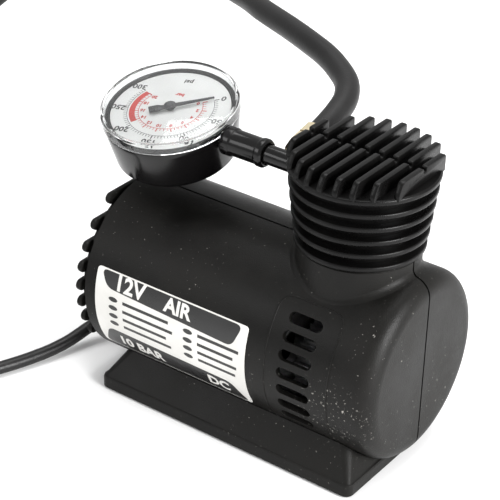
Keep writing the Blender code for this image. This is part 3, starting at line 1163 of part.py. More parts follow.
def plug():
    """The lighter plug: grip and nose in one body, the band with its side contacts, and the sprung tip."""
    nose = PLUG_LENGTH
    mouth = PLUG_TIP_RADIUS + RUN_GAP
    waist = 0.60 * PLUG_LENGTH
    body = turned("plug_body", [
        (0.0, 0.0), (0.0038, 0.0), (0.0055, 0.0100), (PLUG_GRIP_RADIUS, 0.0160), (PLUG_GRIP_RADIUS, waist - 0.0060),
        (PLUG_NOSE_RADIUS, waist), (PLUG_NOSE_RADIUS, nose - 0.0080), (0.0065, nose), (mouth, nose),
        (mouth, nose - PLUG_TIP_HIDDEN - PLUG_TIP_TRAVEL), (0.0, nose - PLUG_TIP_HIDDEN - PLUG_TIP_TRAVEL)],
        "satin_black", ROUND_MEDIUM)
    tip = turned("plug_tip", [
        (0.0, -PLUG_TIP_HIDDEN), (PLUG_TIP_RADIUS, -PLUG_TIP_HIDDEN), (PLUG_TIP_RADIUS, PLUG_TIP_REACH - 0.0020),
        (PLUG_TIP_RADIUS * 0.6, PLUG_TIP_REACH), (0.0, PLUG_TIP_REACH)], "nickel", ROUND_SMALL)
    start = nose - CONTACT_FROM_NOSE
    end = start + CONTACT_LENGTH
    seat = PLUG_NOSE_RADIUS - 0.0012
    groove = ring("cut_contact_groove", 2 * PLUG_NOSE_RADIUS, seat, start - TOUCH_GAP, end + TOUCH_GAP,
                  "satin_black", ROUND_MEDIUM)
    band = ring("plug_contact", seat + TOUCH_GAP + 0.0007, seat + TOUCH_GAP, start, end, "nickel", ROUND_MEDIUM)
    for name, side in (("left", -1), ("right", 1)):
        near, far = side * (seat + 0.0006), side * (PLUG_NOSE_RADIUS + CONTACT_REACH)
        outline = [(near, start + 0.0015), (near, end - 0.0015), (far, (start + end) / 2 + 0.0015),
                   (far, (start + end) / 2 - 0.0015)]
        leaf = prism(f"join_contact_{name}", outline, -0.0020, 0.0020, "nickel")
        leaf.rotation_euler = (math.pi / 2, 0.0, 0.0)
        leaf.parent = band
        join(band, leaf)
    groove.parent = body
    cut(body, groove)
    for made in (body, band):
        made.rotation_euler = (-math.pi / 2, 0.0, 0.0)
        made.location = PLUG_TAIL
    tip.rotation_euler = (-math.pi / 2, 0.0, 0.0)
    tip.location = Vector(PLUG_TAIL) + Vector((0.0, nose, 0.0))


def main():
    clear_scene()
    cavity = housing_cavity()
    shell("front_shell", -1, cavity)
    shell("rear_shell", 1, cavity)
    grille()
    foot()
    label()
    screws()
    motor()
    rotor()
    gear_frame()
    crank()
    connecting_rod()
    piston()
    cylinder()
    finned_cover()
    pipe()
    chuck()
    gauge()
    lead()
    plug()


main()
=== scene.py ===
"""Looks for a portable 12 V tyre inflator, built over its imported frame.

Each sub-assembly is a class that holds its own sizes, in metres, builds its meshes and dresses them.
The frame's origin is the middle of the foot's bottom, +X points to the finned cover and +Z points up.
"""
import json
import logging
import math
from dataclasses import dataclass
from enum import Enum
from typing import Iterable, Sequence

import bmesh
import bpy
from mathutils import Matrix, Vector


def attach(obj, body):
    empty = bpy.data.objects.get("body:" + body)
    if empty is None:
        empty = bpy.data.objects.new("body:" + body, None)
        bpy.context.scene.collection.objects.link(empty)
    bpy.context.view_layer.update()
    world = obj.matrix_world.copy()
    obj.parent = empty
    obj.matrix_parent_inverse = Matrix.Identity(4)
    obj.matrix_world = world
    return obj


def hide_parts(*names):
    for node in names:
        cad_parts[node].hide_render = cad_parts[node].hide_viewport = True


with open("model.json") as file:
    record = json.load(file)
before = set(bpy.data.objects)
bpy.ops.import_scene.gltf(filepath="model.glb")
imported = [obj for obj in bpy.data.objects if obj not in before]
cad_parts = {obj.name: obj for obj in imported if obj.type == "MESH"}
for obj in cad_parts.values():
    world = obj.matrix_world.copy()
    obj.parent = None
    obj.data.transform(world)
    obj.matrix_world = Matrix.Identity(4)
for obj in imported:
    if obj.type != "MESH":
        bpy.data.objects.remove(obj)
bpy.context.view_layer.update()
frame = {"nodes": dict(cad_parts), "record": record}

LOG = logging.getLogger("inflator")
Colour = tuple[float, float, float]
Flat = tuple[float, float]


class Body(Enum):
    """The frame's bodies that dressed pieces ride on."""

    BASE = "base"
    NEEDLE = "needle"
    LEVER = "chuck_lever"
    TIP = "plug_tip"


# ---------------------------------------------------------------- shaders

class Shader:
    """A short way to build a node tree."""

    def __init__(self, tree: bpy.types.NodeTree) -> None:
        """Keep the tree that the nodes go into."""
        self.tree = tree

    def add(self, kind: str, **settings: object) -> bpy.types.Node:
        """Add a node.

        Args:
            kind: the node's type name.
            settings: its properties by name.
        Returns:
            The new node.
        """
        node = self.tree.nodes.new(kind)
        for name, value in settings.items():
            setattr(node, name, value)
        return node

    def join(self, source: bpy.types.NodeSocket, target: bpy.types.NodeSocket) -> None:
        """Link two sockets."""
        self.tree.links.new(source, target)

    def math(self, kind: str, first: object, second: object = 0.0,
             clamp: bool = False) -> bpy.types.NodeSocket:
        """Add a Math node.

        Args:
            kind: the operation.
            first: a socket or a number.
            second: a socket or a number.
            clamp: whether the result stays from 0 to 1.
        Returns:
            The result's socket.
        """
        node = self.add("ShaderNodeMath", operation=kind, use_clamp=clamp)
        for socket, value in zip(node.inputs, (first, second)):
            if isinstance(value, bpy.types.NodeSocket):
                self.join(value, socket)
            else:
                socket.default_value = value
        return node.outputs[0]

    def noise(self, vector: bpy.types.NodeSocket, scale: object, detail: float, rough: float = 0.5) -> object:
        """Add a noise texture and return its value's socket."""
        node = self.add("ShaderNodeTexNoise")
        self.join(vector, node.inputs["Vector"])
        node.inputs["Detail"].default_value = detail
        node.inputs["Roughness"].default_value = rough
        if isinstance(scale, bpy.types.NodeSocket):
            self.join(scale, node.inputs["Scale"])
        else:
            node.inputs["Scale"].default_value = scale
        return node.outputs["Fac"]

    def ramp(self, value: bpy.types.NodeSocket, low: float, high: float, to_low: object = 0.0,
             to_high: object = 1.0) -> bpy.types.NodeSocket:
        """Map a value from one range to another, smoothly, and return the result's socket."""
        node = self.add("ShaderNodeMapRange", interpolation_type="SMOOTHSTEP")
        self.join(value, node.inputs["Value"])
        for name, given in (("From Min", low), ("From Max", high), ("To Min", to_low), ("To Max", to_high)):
            if isinstance(given, bpy.types.NodeSocket):
                self.join(given, node.inputs[name])
            else:
                node.inputs[name].default_value = given
        return node.outputs["Result"]

    def mix(self, share: bpy.types.NodeSocket, first: bpy.types.NodeSocket,
            second: bpy.types.NodeSocket) -> bpy.types.NodeSocket:
        """Mix two colours by a share and return the result's socket."""
        node = self.add("ShaderNodeMix", data_type="RGBA")
        self.join(share, node.inputs["Factor"])
        self.join(first, node.inputs[6])
        self.join(second, node.inputs[7])
        return node.outputs[2]


def worn_skin() -> bpy.types.NodeTree:
    """The surface effect that every finish shares: slow mottle, fine grain, hairline scratches and dust.

    Returns:
        The node group, built on the first call.
    """
    found = bpy.data.node_groups.get("worn_skin")
    if found:
        return found
    tree = bpy.data.node_groups.new("worn_skin", "ShaderNodeTree")
    for name, kind in (("Place", "NodeSocketVector"), ("Base", "NodeSocketColor"),
                       ("Worn", "NodeSocketColor"),
                       ("Dust Colour", "NodeSocketColor"), ("Patch Scale", "NodeSocketFloat"),
                       ("Grain Scale", "NodeSocketFloat"), ("Smooth", "NodeSocketFloat"),
                       ("Rough", "NodeSocketFloat"), ("Scratches", "NodeSocketFloat"),
                       ("Dust", "NodeSocketFloat"),
                       ("Grain Depth", "NodeSocketFloat"), ("Dusty Spot", "NodeSocketVector")):
        tree.interface.new_socket(name, in_out="INPUT", socket_type=kind)
    for name, kind in (("Colour", "NodeSocketColor"), ("Roughness", "NodeSocketFloat"),
                       ("Height", "NodeSocketFloat")):
        tree.interface.new_socket(name, in_out="OUTPUT", socket_type=kind)
    s = Shader(tree)
    given = s.add("NodeGroupInput").outputs
    result = s.add("NodeGroupOutput").inputs
    patch = s.noise(given["Place"], given["Patch Scale"], 4.0, 0.6)
    fine = s.noise(given["Place"], given["Grain Scale"], 2.0)
    stretch = s.add("ShaderNodeMapping")
    stretch.inputs["Rotation"].default_value = (0.3, 0.5, 0.4)
    stretch.inputs["Scale"].default_value = (70.0, 1500.0, 1100.0)
    s.join(given["Place"], stretch.inputs["Vector"])
    streak = s.ramp(s.noise(stretch.outputs["Vector"], 1.0, 1.0), 0.66, 0.74)
    where = s.ramp(s.noise(given["Place"], 55.0, 2.0), 0.5, 0.66)
    scratch = s.math("MULTIPLY", s.math("MULTIPLY", streak, where), given["Scratches"], True)
    speck = s.ramp(s.noise(given["Place"], 900.0, 2.0, 0.6), 0.70, 0.76)
    away = s.add("ShaderNodeVectorMath", operation="DISTANCE")
    s.join(given["Place"], away.inputs[0])
    s.join(given["Dusty Spot"], away.inputs[1])
    gathered = s.ramp(away.outputs["Value"], 0.004, 0.020, 1.0, 0.0)
    crumbs = s.ramp(s.noise(given["Place"], 850.0, 3.0, 0.65), 0.63, 0.68)
    heap = s.math("MULTIPLY", s.math("MULTIPLY", crumbs, gathered), 0.75)
    strewn = s.math("MULTIPLY", s.math("MULTIPLY", speck, s.ramp(patch, 0.42, 0.62)), 0.45)
    dusty = s.math("MULTIPLY", s.math("MAXIMUM", heap, strewn), given["Dust"], True)
    tone = s.mix(s.ramp(patch, 0.36, 0.68), given["Base"], given["Worn"])
    scuffed = s.mix(s.math("MULTIPLY", scratch, 0.6), tone, given["Worn"])
    s.join(s.mix(dusty, scuffed, given["Dust Colour"]), result["Colour"])
    gloss = s.ramp(patch, 0.3, 0.7, given["Smooth"], given["Rough"])
    fuzz = s.math("MULTIPLY", s.math("SUBTRACT", fine, 0.5), 0.10)
    s.join(s.math("ADD", s.math("ADD", gloss, fuzz), s.math("MULTIPLY", scratch, 0.12), True),
           result["Roughness"])
    s.join(s.math("SUBTRACT", s.math("ADD", s.math("MULTIPLY", fine, given["Grain Depth"]),
                                     s.math("MULTIPLY", patch, 0.4)), s.math("MULTIPLY", scratch, 0.5)),
           result["Height"])
    return tree


@dataclass(frozen=True)
class Finish:
    """A finish: its colours, how rough it is and how its surface varies."""

    name: str
    slot: str
    base: Colour
    worn: Colour
    rough: Flat
    metallic: float = 0.0
    patch: float = 32.0
    grain: float = 2200.0
    grain_depth: float = 1.0
    bump: float = 0.12
    scratches: float = 0.25
    dust: float = 0.0
    coat: float = 0.0
    specular: float = 0.5
    transmission: float = 0.0

    def material(self) -> bpy.types.Material:
        """Build the finish's material on the first call, and return it."""
        found = bpy.data.materials.get(self.name)
        if found:
            return found
        made = bpy.data.materials.new(self.name)
        made.use_nodes = True
        s = Shader(made.node_tree)
        skin = made.node_tree.nodes["Principled BSDF"]
        group = s.add("ShaderNodeGroup", node_tree=worn_skin())
        s.join(s.add("ShaderNodeTexCoord").outputs["Object"], group.inputs["Place"])
        for name, value in (("Base", (*self.base, 1.0)), ("Worn", (*self.worn, 1.0)),
                            ("Dust Colour", (0.52, 0.50, 0.46, 1.0)), ("Patch Scale", self.patch),
                            ("Grain Scale", self.grain), ("Smooth", self.rough[0]), ("Rough", self.rough[1]),
                            ("Scratches", self.scratches), ("Dust", self.dust),
                            ("Grain Depth", self.grain_depth),
                            ("Dusty Spot", (0.047, -0.034, 0.030))):
            group.inputs[name].default_value = value
        s.join(group.outputs["Colour"], skin.inputs["Base Color"])
        s.join(group.outputs["Roughness"], skin.inputs["Roughness"])
        skin.inputs["Metallic"].default_value = self.metallic
        skin.inputs["Coat Weight"].default_value = self.coat
        skin.inputs["Specular IOR Level"].default_value = self.specular
        skin.inputs["Transmission Weight"].default_value = self.transmission
        if self.transmission:
            skin.inputs["IOR"].default_value = 1.46
        if self.bump:
            bump = s.add("ShaderNodeBump")
            bump.inputs["Strength"].default_value = self.bump
            bump.inputs["Distance"].default_value = 0.0004
            s.join(group.outputs["Height"], bump.inputs["Height"])
            s.join(bump.outputs["Normal"], skin.inputs["Normal"])
        made.diffuse_color = (*self.base, 1.0)
        return made


MOULDED = Finish("moulded_black_shell", "moulded_black", (0.0042, 0.0040, 0.0036), (0.0080, 0.0076, 0.0068),
                 (0.34, 0.50), scratches=0.8, dust=1.0, bump=0.20, specular=0.15)
SATIN = Finish("satin_black_cover", "satin_black", (0.0022, 0.0021, 0.0021), (0.0044, 0.0042, 0.0040),
               (0.26, 0.40), dust=0.12, bump=0.12, specular=0.16)
GLOSS = Finish("gloss_black_case", "gloss_black", (0.0030, 0.0029, 0.0030), (0.0045, 0.0042, 0.0043),
               (0.08, 0.18),
               bump=0.04, scratches=0.4, specular=0.30)
RUBBER = Finish("rubber_hose", "rubber", (0.0050, 0.0048, 0.0048), (0.0100, 0.0096, 0.0096), (0.36, 0.50),
                grain=1400.0, bump=0.22, dust=0.12, specular=0.30)
PAPER = Finish("label_white", "label", (0.74, 0.73, 0.70), (0.66, 0.65, 0.62), (0.30, 0.42), bump=0.06,
               scratches=0.3)
INK = Finish("label_black", "label", (0.010, 0.010, 0.010), (0.016, 0.016, 0.016), (0.26, 0.36), bump=0.05)
CLEAR = Finish("clear_lens", "clear", (0.97, 0.98, 0.98), (0.95, 0.96, 0.96), (0.01, 0.03), bump=0.0,
               scratches=0.1, transmission=1.0)
DIAL = Finish("dial_white_card", "dial_white", (0.84, 0.84, 0.83), (0.80, 0.80, 0.79), (0.40, 0.5), bump=0.04,
              scratches=0.0)
DIAL_INK = Finish("dial_black_ink", "carbon", (0.012, 0.012, 0.013), (0.018, 0.018, 0.02), (0.4, 0.5),
                  bump=0.0)
DIAL_RED = Finish("dial_red_ink", "dial_white", (0.62, 0.030, 0.022), (0.55, 0.035, 0.028), (0.4, 0.5),
                  bump=0.0)
NICKEL = Finish("nickel_plate", "nickel", (0.62, 0.60, 0.56), (0.48, 0.46, 0.43), (0.20, 0.36), 1.0,
                scratches=0.6)
CREAM_BRASS = Finish("cream_brass", "nickel", (0.74, 0.66, 0.48), (0.60, 0.52, 0.36), (0.24, 0.40), 1.0,
                     scratches=0.6)
STEEL = Finish("zinc_steel", "steel", (0.50, 0.50, 0.50), (0.36, 0.36, 0.37), (0.28, 0.46), 1.0,
               scratches=0.7)
BRASS = Finish("plain_brass", "brass", (0.62, 0.44, 0.16), (0.46, 0.32, 0.12), (0.25, 0.42), 1.0)
ALUMINIUM = Finish("dark_cast_aluminium", "aluminium", (0.14, 0.14, 0.145), (0.09, 0.09, 0.095),
                   (0.42, 0.6), 1.0,
                   bump=0.4)
COPPER = Finish("wound_copper", "copper", (0.62, 0.25, 0.12), (0.44, 0.17, 0.08), (0.25, 0.4), 1.0)
FERRITE = Finish("ferrite_grey", "ferrite", (0.045, 0.045, 0.05), (0.07, 0.07, 0.075), (0.5, 0.7), bump=0.4)
NYLON = Finish("white_nylon", "white_nylon", (0.72, 0.71, 0.67), (0.64, 0.63, 0.58), (0.35, 0.5))
CARBON = Finish("dark_carbon", "carbon", (0.02, 0.02, 0.022), (0.035, 0.035, 0.038), (0.35, 0.5), bump=0.1)
SEAL = Finish("seal_rubber", "seal", (0.020, 0.018, 0.016), (0.03, 0.028, 0.026), (0.5, 0.65))
FLOOR = Finish("studio_floor", "label", (0.90, 0.90, 0.90), (0.88, 0.88, 0.88), (0.6, 0.7), bump=0.0,
               scratches=0.0, patch=2.0)
Z_ONTO_X = Matrix.Rotation(math.pi / 2, 4, "Y")
X_ONTO_Y = Matrix.Rotation(math.pi / 2, 4, "Z")
BY_SLOT = {f.slot: f for f in (SEAL, CARBON, NYLON, FERRITE, COPPER, ALUMINIUM, BRASS, STEEL, NICKEL,
                               DIAL, CLEAR,
                               PAPER, RUBBER, GLOSS, SATIN, MOULDED)}


# ---------------------------------------------------------------- mesh making

def arc(centre: Flat, radius: float, start: float, end: float, count: int) -> list[Flat]:
    """Points along a circular arc, from start to end in degrees."""
    return [(centre[0] + radius * math.cos(math.radians(start + (end - start) * k / count)),
             centre[1] + radius * math.sin(math.radians(start + (end - start) * k / count)))
            for k in range(count + 1)]


def eased(points: Sequence[Flat], radius: float, closed: bool, steps: int = 3) -> list[Flat]:
    """Round the corners of a flat line.

    Args:
        points: the line's corners.
        radius: how far along each side the rounding reaches, at most.
        closed: whether the last corner joins the first.
        steps: how many pieces a corner becomes.
    Returns:
        The rounded line.
    """
    made: list[Flat] = []
    count = len(points)
    for k, point in enumerate(points):
        if not closed and k in (0, count - 1):
            made.append(point)
            continue
        here, back, ahead = Vector(point), Vector(points[k - 1]), Vector(points[(k + 1) % count])
        to_back, to_ahead = back - here, ahead - here
        reach = min(radius, 0.45 * to_back.length, 0.45 * to_ahead.length)
        if reach < 1e-6 or to_back.angle(to_ahead) > math.radians(176):
            made.append(point)
            continue
        first, last = here + to_back.normalized() * reach, here + to_ahead.normalized() * reach
        for n in range(steps + 1):
            t = n / steps
            spot = first * (1 - t) ** 2 + here * 2 * t * (1 - t) + last * t * t
            made.append((spot.x, spot.y))
    return made


def finished(bm: bmesh.types.BMesh, name: str, sharp: float = 38.0) -> bpy.types.Object:
    """Turn a mesh being built into an object with smooth faces and sharp creases.

    Args:
        bm: the mesh being built, which is freed.
        name: the object's name.
        sharp: the least angle of a crease, in degrees.
    Returns:
        The object, linked to the scene.
    """
    bm.normal_update()
    for face in bm.faces:
        face.smooth = True
    for edge in bm.edges:
        edge.smooth = not (edge.is_manifold and edge.calc_face_angle(0.0) > math.radians(sharp))
    mesh = bpy.data.meshes.new(name)
    bm.to_mesh(mesh)
    bm.free()
    made = bpy.data.objects.new(name, mesh)
    bpy.context.scene.collection.objects.link(made)
    return made


def outward(bm: bmesh.types.BMesh) -> None:
    """Weld a closed mesh and make its faces point out."""
    bmesh.ops.remove_doubles(bm, verts=bm.verts, dist=1e-7)
    bmesh.ops.recalc_face_normals(bm, faces=bm.faces)


def turned(name: str, profile: Sequence[Flat], facets: int = 64, ease: float = 0.0,
           closed: bool = False) -> bpy.types.Object:
    """Revolve a half outline about Z.

    Args:
        name: the object's name.
        profile: (radius, height) corners.
        facets: how many sides the result has.
        ease: the rounding of the outline's corners.
        closed: whether the outline is a loop clear of the axis.
    Returns:
        The closed solid.
    """
    points = eased(profile, ease, closed) if ease else list(profile)
    bm = bmesh.new()
    rings = []
    for radius, z in points:
        if radius < 1e-7:
            rings.append([bm.verts.new((0.0, 0.0, z))] * facets)
        else:
            rings.append([bm.verts.new((radius * math.cos(math.tau * k / facets),
                                        radius * math.sin(math.tau * k / facets), z)) for k in range(facets)])
    pairs = list(zip(rings, rings[1:])) + ([(rings[-1], rings[0])] if closed else [])
    for low, high in pairs:
        for k in range(facets):
            n = (k + 1) % facets
            corners = list(dict.fromkeys((low[k], low[n], high[n], high[k])))
            if len(corners) > 2:
                bm.faces.new(corners)
    outward(bm)
    return finished(bm, name)


def prism(name: str, outline: Sequence[Flat], low: float, high: float,
          bevel: float = 0.0) -> bpy.types.Object:
    """Extrude a flat outline along Z, with its cap edges bevelled.

    Args:
        name: the object's name.
        outline: the (x, y) corners.
        low: the lower cap's height.
        high: the upper cap's height.
        bevel: the width of the bevel round both caps.
    Returns:
        The closed solid.
    """
    bm = bmesh.new()
    face = bm.faces.new([bm.verts.new((x, y, low)) for x, y in outline])
    grown = bmesh.ops.extrude_face_region(bm, geom=[face])
    bmesh.ops.translate(bm, vec=(0, 0, high - low), verts=[g for g in grown["geom"]
                                                          if isinstance(g, bmesh.types.BMVert)])
    outward(bm)
    if bevel:
        caps = [e for e in bm.edges if abs(e.verts[0].co.z - e.verts[1].co.z) < 1e-9]
        bmesh.ops.bevel(bm, geom=caps, offset=bevel, segments=2, profile=0.5, affect="EDGES",
                        clamp_overlap=True)
    return finished(bm, name)


def block(name: str, low: Sequence[float], high: Sequence[float], bevel: float = 0.0) -> bpy.types.Object:
    """A box between two corners, bevelled all round."""
    bm = bmesh.new()
    bmesh.ops.create_cube(bm, size=1.0)
    for vert in bm.verts:
        vert.co = [lo + (c + 0.5) * (hi - lo) for lo, hi, c in zip(low, high, vert.co)]
    if bevel:
        bmesh.ops.bevel(bm, geom=bm.edges[:], offset=bevel, segments=3, profile=0.5, affect="EDGES",
                        clamp_overlap=True)
    return finished(bm, name)


def smooth_path(points: Sequence[Sequence[float]], step: float) -> list[Vector]:
    """A Catmull-Rom curve through points, at even steps."""
    p = [Vector(q) for q in points]
    p = [p[0] * 2 - p[1], *p, p[-1] * 2 - p[-2]]
    made = []
    for a, b, c, d in zip(p, p[1:], p[2:], p[3:]):
        count = max(1, round((c - b).length / step))
        for n in range(count):
            t = n / count
            made.append(0.5 * (2 * b + (c - a) * t + (2 * a - 5 * b + 4 * c - d) * t * t
                               + (3 * b - a - 3 * c + d) * t ** 3))
    return [*made, p[-2]]


def swept(name: str, path: Sequence[Vector], section: Sequence[Flat], swell: Sequence[float] | None = None,
          loop: bool = False) -> bpy.types.Object:
    """Sweep a section along a path without twisting it, with a UV map along the path.

    Args:
        name: the object's name.
        path: the points that the section's middle follows.
        section: the section's corners, with its first axis level where the path starts.
        swell: a factor for the section's size at each point.
        loop: whether the path closes on itself.
    Returns:
        The closed tube.
    """
    bm = bmesh.new()
    layer = bm.loops.layers.uv.new("along")
    count = len(path)
    side, rings, along, run = None, [], [], 0.0
    for k, spot in enumerate(path):
        ahead = (path[(k + 1) % count] if loop else path[min(k + 1, count - 1)])
        behind = path[k - 1] if loop else path[max(k - 1, 0)]
        tangent = (ahead - behind).normalized()
        if side is None:
            side = tangent.cross(Vector((0, 0, 1)))
            side = side if side.length > 0.1 else Vector((1, 0, 0))
        side = (side - tangent * side.dot(tangent)).normalized()
        up = side.cross(tangent)
        size = swell[k] if swell else 1.0
        rings.append([bm.verts.new(spot + side * x * size + up * y * size) for x, y in section])
        run += (spot - path[k - 1]).length if k else 0.0
        along.append(run)
    sides = len(section)
    spans = list(zip(range(count), range(1, count))) + ([(count - 1, 0)] if loop else [])
    for a, b in spans:
        for k in range(sides):
            n = (k + 1) % sides
            face = bm.faces.new((rings[a][k], rings[a][n], rings[b][n], rings[b][k]))
            far = along[b] if b > a else run + (path[0] - path[-1]).length
            for corner, uv in zip(face.loops, ((k, along[a]), (k + 1, along[a]), (k + 1, far), (k, far))):
                corner[layer].uv = (uv[0] / sides, uv[1] * 20)
    if not loop:
        bm.faces.new(rings[0])
        bm.faces.new(rings[-1])
    bmesh.ops.recalc_face_normals(bm, faces=bm.faces)
    return finished(bm, name)


def smooth_step(share: float) -> float:
    """A share from 0 to 1, eased at both ends."""
    return share * share * (3 - 2 * share)


def circle(radius: float, sides: int) -> list[Flat]:
    """A circle's corners."""
    return arc((0, 0), radius, 0, 360 * (sides - 1) / sides, sides - 1)


def freeze(made: bpy.types.Object) -> bpy.types.Object:
    """Apply an object's modifiers to its mesh."""
    bpy.context.view_layer.update()
    mesh = bpy.data.meshes.new_from_object(made.evaluated_get(bpy.context.evaluated_depsgraph_get()))
    made.modifiers.clear()
    made.data = mesh
    return made


def combine(target: bpy.types.Object, operation: str, *tools: bpy.types.Object) -> bpy.types.Object:
    """Apply a Boolean with each tool in turn, and remove the tools."""
    for tool in tools:
        step = target.modifiers.new("shape", "BOOLEAN")
        step.operation, step.solver, step.object = operation, "EXACT", tool
        freeze(target)
        bpy.data.objects.remove(tool)
    return target


def crease(made: bpy.types.Object, sharp: float = 32.0) -> bpy.types.Object:
    """Weld a shape after its Booleans, and give it smooth faces with sharp creases and weighted normals."""
    bm = bmesh.new()
    bm.from_mesh(made.data)
    bmesh.ops.remove_doubles(bm, verts=bm.verts, dist=2e-6)
    bmesh.ops.dissolve_degenerate(bm, edges=bm.edges, dist=1e-6)
    bm.normal_update()
    for face in bm.faces:
        face.smooth = True
    for edge in bm.edges:
        edge.smooth = not (edge.is_manifold and edge.calc_face_angle(0.0) > math.radians(sharp))
    bm.to_mesh(made.data)
    bm.free()
    weigh = made.modifiers.new("normals", "WEIGHTED_NORMAL")
    weigh.keep_sharp = True
    weigh.weight = 90
    return freeze(made)


def merged(name: str, parts: Iterable[bpy.types.Object]) -> bpy.types.Object:
    """Put several objects' meshes, of one finish, into one object."""
    bm = bmesh.new()
    for part in parts:
        bm.from_mesh(part.data)
        bpy.data.objects.remove(part)
    return finished(bm, name)


def placed(made: bpy.types.Object, matrix: Matrix) -> bpy.types.Object:
    """Move a mesh, with its object left at the origin."""
    made.data.transform(matrix)
    return made


def facing(spot: Sequence[float], direction: Sequence[float]) -> Matrix:
    """The turn and move that take +Z to a direction, at a spot."""
    return Matrix.Translation(spot) @ Vector(direction).to_track_quat("Z", "Y").to_matrix().to_4x4()


def dress(made: bpy.types.Object, finish: Finish, body: Body, *nodes: str) -> bpy.types.Object:
    """Give a piece its finish, its body and the nodes that it stands for, and report it.

    Args:
        made: the piece.
        finish: the finish that its whole surface takes.
        body: the body that it rides on.
        nodes: the frame's nodes that it replaces.
    Returns:
        The piece.
    """
    made.data.materials.clear()
    made.data.materials.append(finish.material())
    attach(made, body.value)
    if nodes:
        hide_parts(*nodes)
    LOG.info("%s: %d faces, %s", made.name, len(made.data.polygons), finish.name)
    return made


# ---------------------------------------------------------------- repeats

class Row:
    """A geometry tree that stands a piece at each of a set of points, turned and stretched."""

    @staticmethod
    def tree() -> bpy.types.NodeTree:
        """Build the tree on the first call, and return it."""
        found = bpy.data.node_groups.get("row_of_pieces")
        if found:
            return found
        tree = bpy.data.node_groups.new("row_of_pieces", "GeometryNodeTree")
        for name, kind in (("Places", "NodeSocketGeometry"), ("Piece", "NodeSocketObject"),
                           ("Size", "NodeSocketFloat"), ("Finish", "NodeSocketMaterial")):
            tree.interface.new_socket(name, in_out="INPUT", socket_type=kind)
        tree.interface.new_socket("Result", in_out="OUTPUT", socket_type="NodeSocketGeometry")
        s = Shader(tree)
        given = s.add("NodeGroupInput").outputs
        piece = s.add("GeometryNodeObjectInfo", transform_space="ORIGINAL")
        s.join(given["Piece"], piece.inputs["Object"])
        spread = s.add("GeometryNodeInstanceOnPoints")
        turn = s.add("GeometryNodeInputNamedAttribute", data_type="FLOAT_VECTOR")
        turn.inputs["Name"].default_value = "turn"
        stretch = s.add("GeometryNodeInputNamedAttribute", data_type="FLOAT_VECTOR")
        stretch.inputs["Name"].default_value = "stretch"
        sized = s.add("ShaderNodeVectorMath", operation="SCALE")
        s.join(stretch.outputs["Attribute"], sized.inputs[0])
        s.join(given["Size"], sized.inputs["Scale"])
        rotate = s.add("FunctionNodeEulerToRotation")
        s.join(turn.outputs["Attribute"], rotate.inputs[0])
        s.join(given["Places"], spread.inputs["Points"])
        s.join(piece.outputs["Geometry"], spread.inputs["Instance"])
        s.join(rotate.outputs[0], spread.inputs["Rotation"])
        s.join(sized.outputs[0], spread.inputs["Scale"])
        real = s.add("GeometryNodeRealizeInstances")
        paint = s.add("GeometryNodeSetMaterial")
        s.join(spread.outputs[0], real.inputs[0])
        s.join(real.outputs[0], paint.inputs[0])
        s.join(given["Finish"], paint.inputs["Material"])
        s.join(paint.outputs[0], s.add("NodeGroupOutput").inputs[0])
        return tree

    @classmethod
    def stand(cls, name: str, piece: bpy.types.Object, finish: Finish,
              places: Sequence[tuple[Sequence[float], Sequence[float], Sequence[float]]]) -> bpy.types.Object:
        """Repeat a piece.

        Args:
            name: the result's name.
            piece: the piece to repeat, which is removed.
            finish: what the result is made of.
            places: a spot, a turn in radians and a stretch for each repeat.
        Returns:
            The repeats as one plain mesh.
        """
        mesh = bpy.data.meshes.new(name)
        mesh.from_pydata([spot for spot, _, _ in places], [], [])
        for key, which in (("turn", 1), ("stretch", 2)):
            values = mesh.attributes.new(key, "FLOAT_VECTOR", "POINT")
            for k, place in enumerate(places):
                values.data[k].vector = place[which]
        made = bpy.data.objects.new(name, mesh)
        bpy.context.scene.collection.objects.link(made)
        step = made.modifiers.new("row", "NODES")
        step.node_group = cls.tree()
        sockets = {item.name: item.identifier for item in cls.tree().interface.items_tree
                   if item.in_out == "INPUT"}
        step[sockets["Piece"]] = piece
        step[sockets["Size"]] = 1.0
        step[sockets["Finish"]] = finish.material()
        freeze(made)
        bpy.data.objects.remove(piece)
        for key in ("turn", "stretch"):
            if key in made.data.attributes:
                made.data.attributes.remove(made.data.attributes[key])
        return made


# ---------------------------------------------------------------- housing

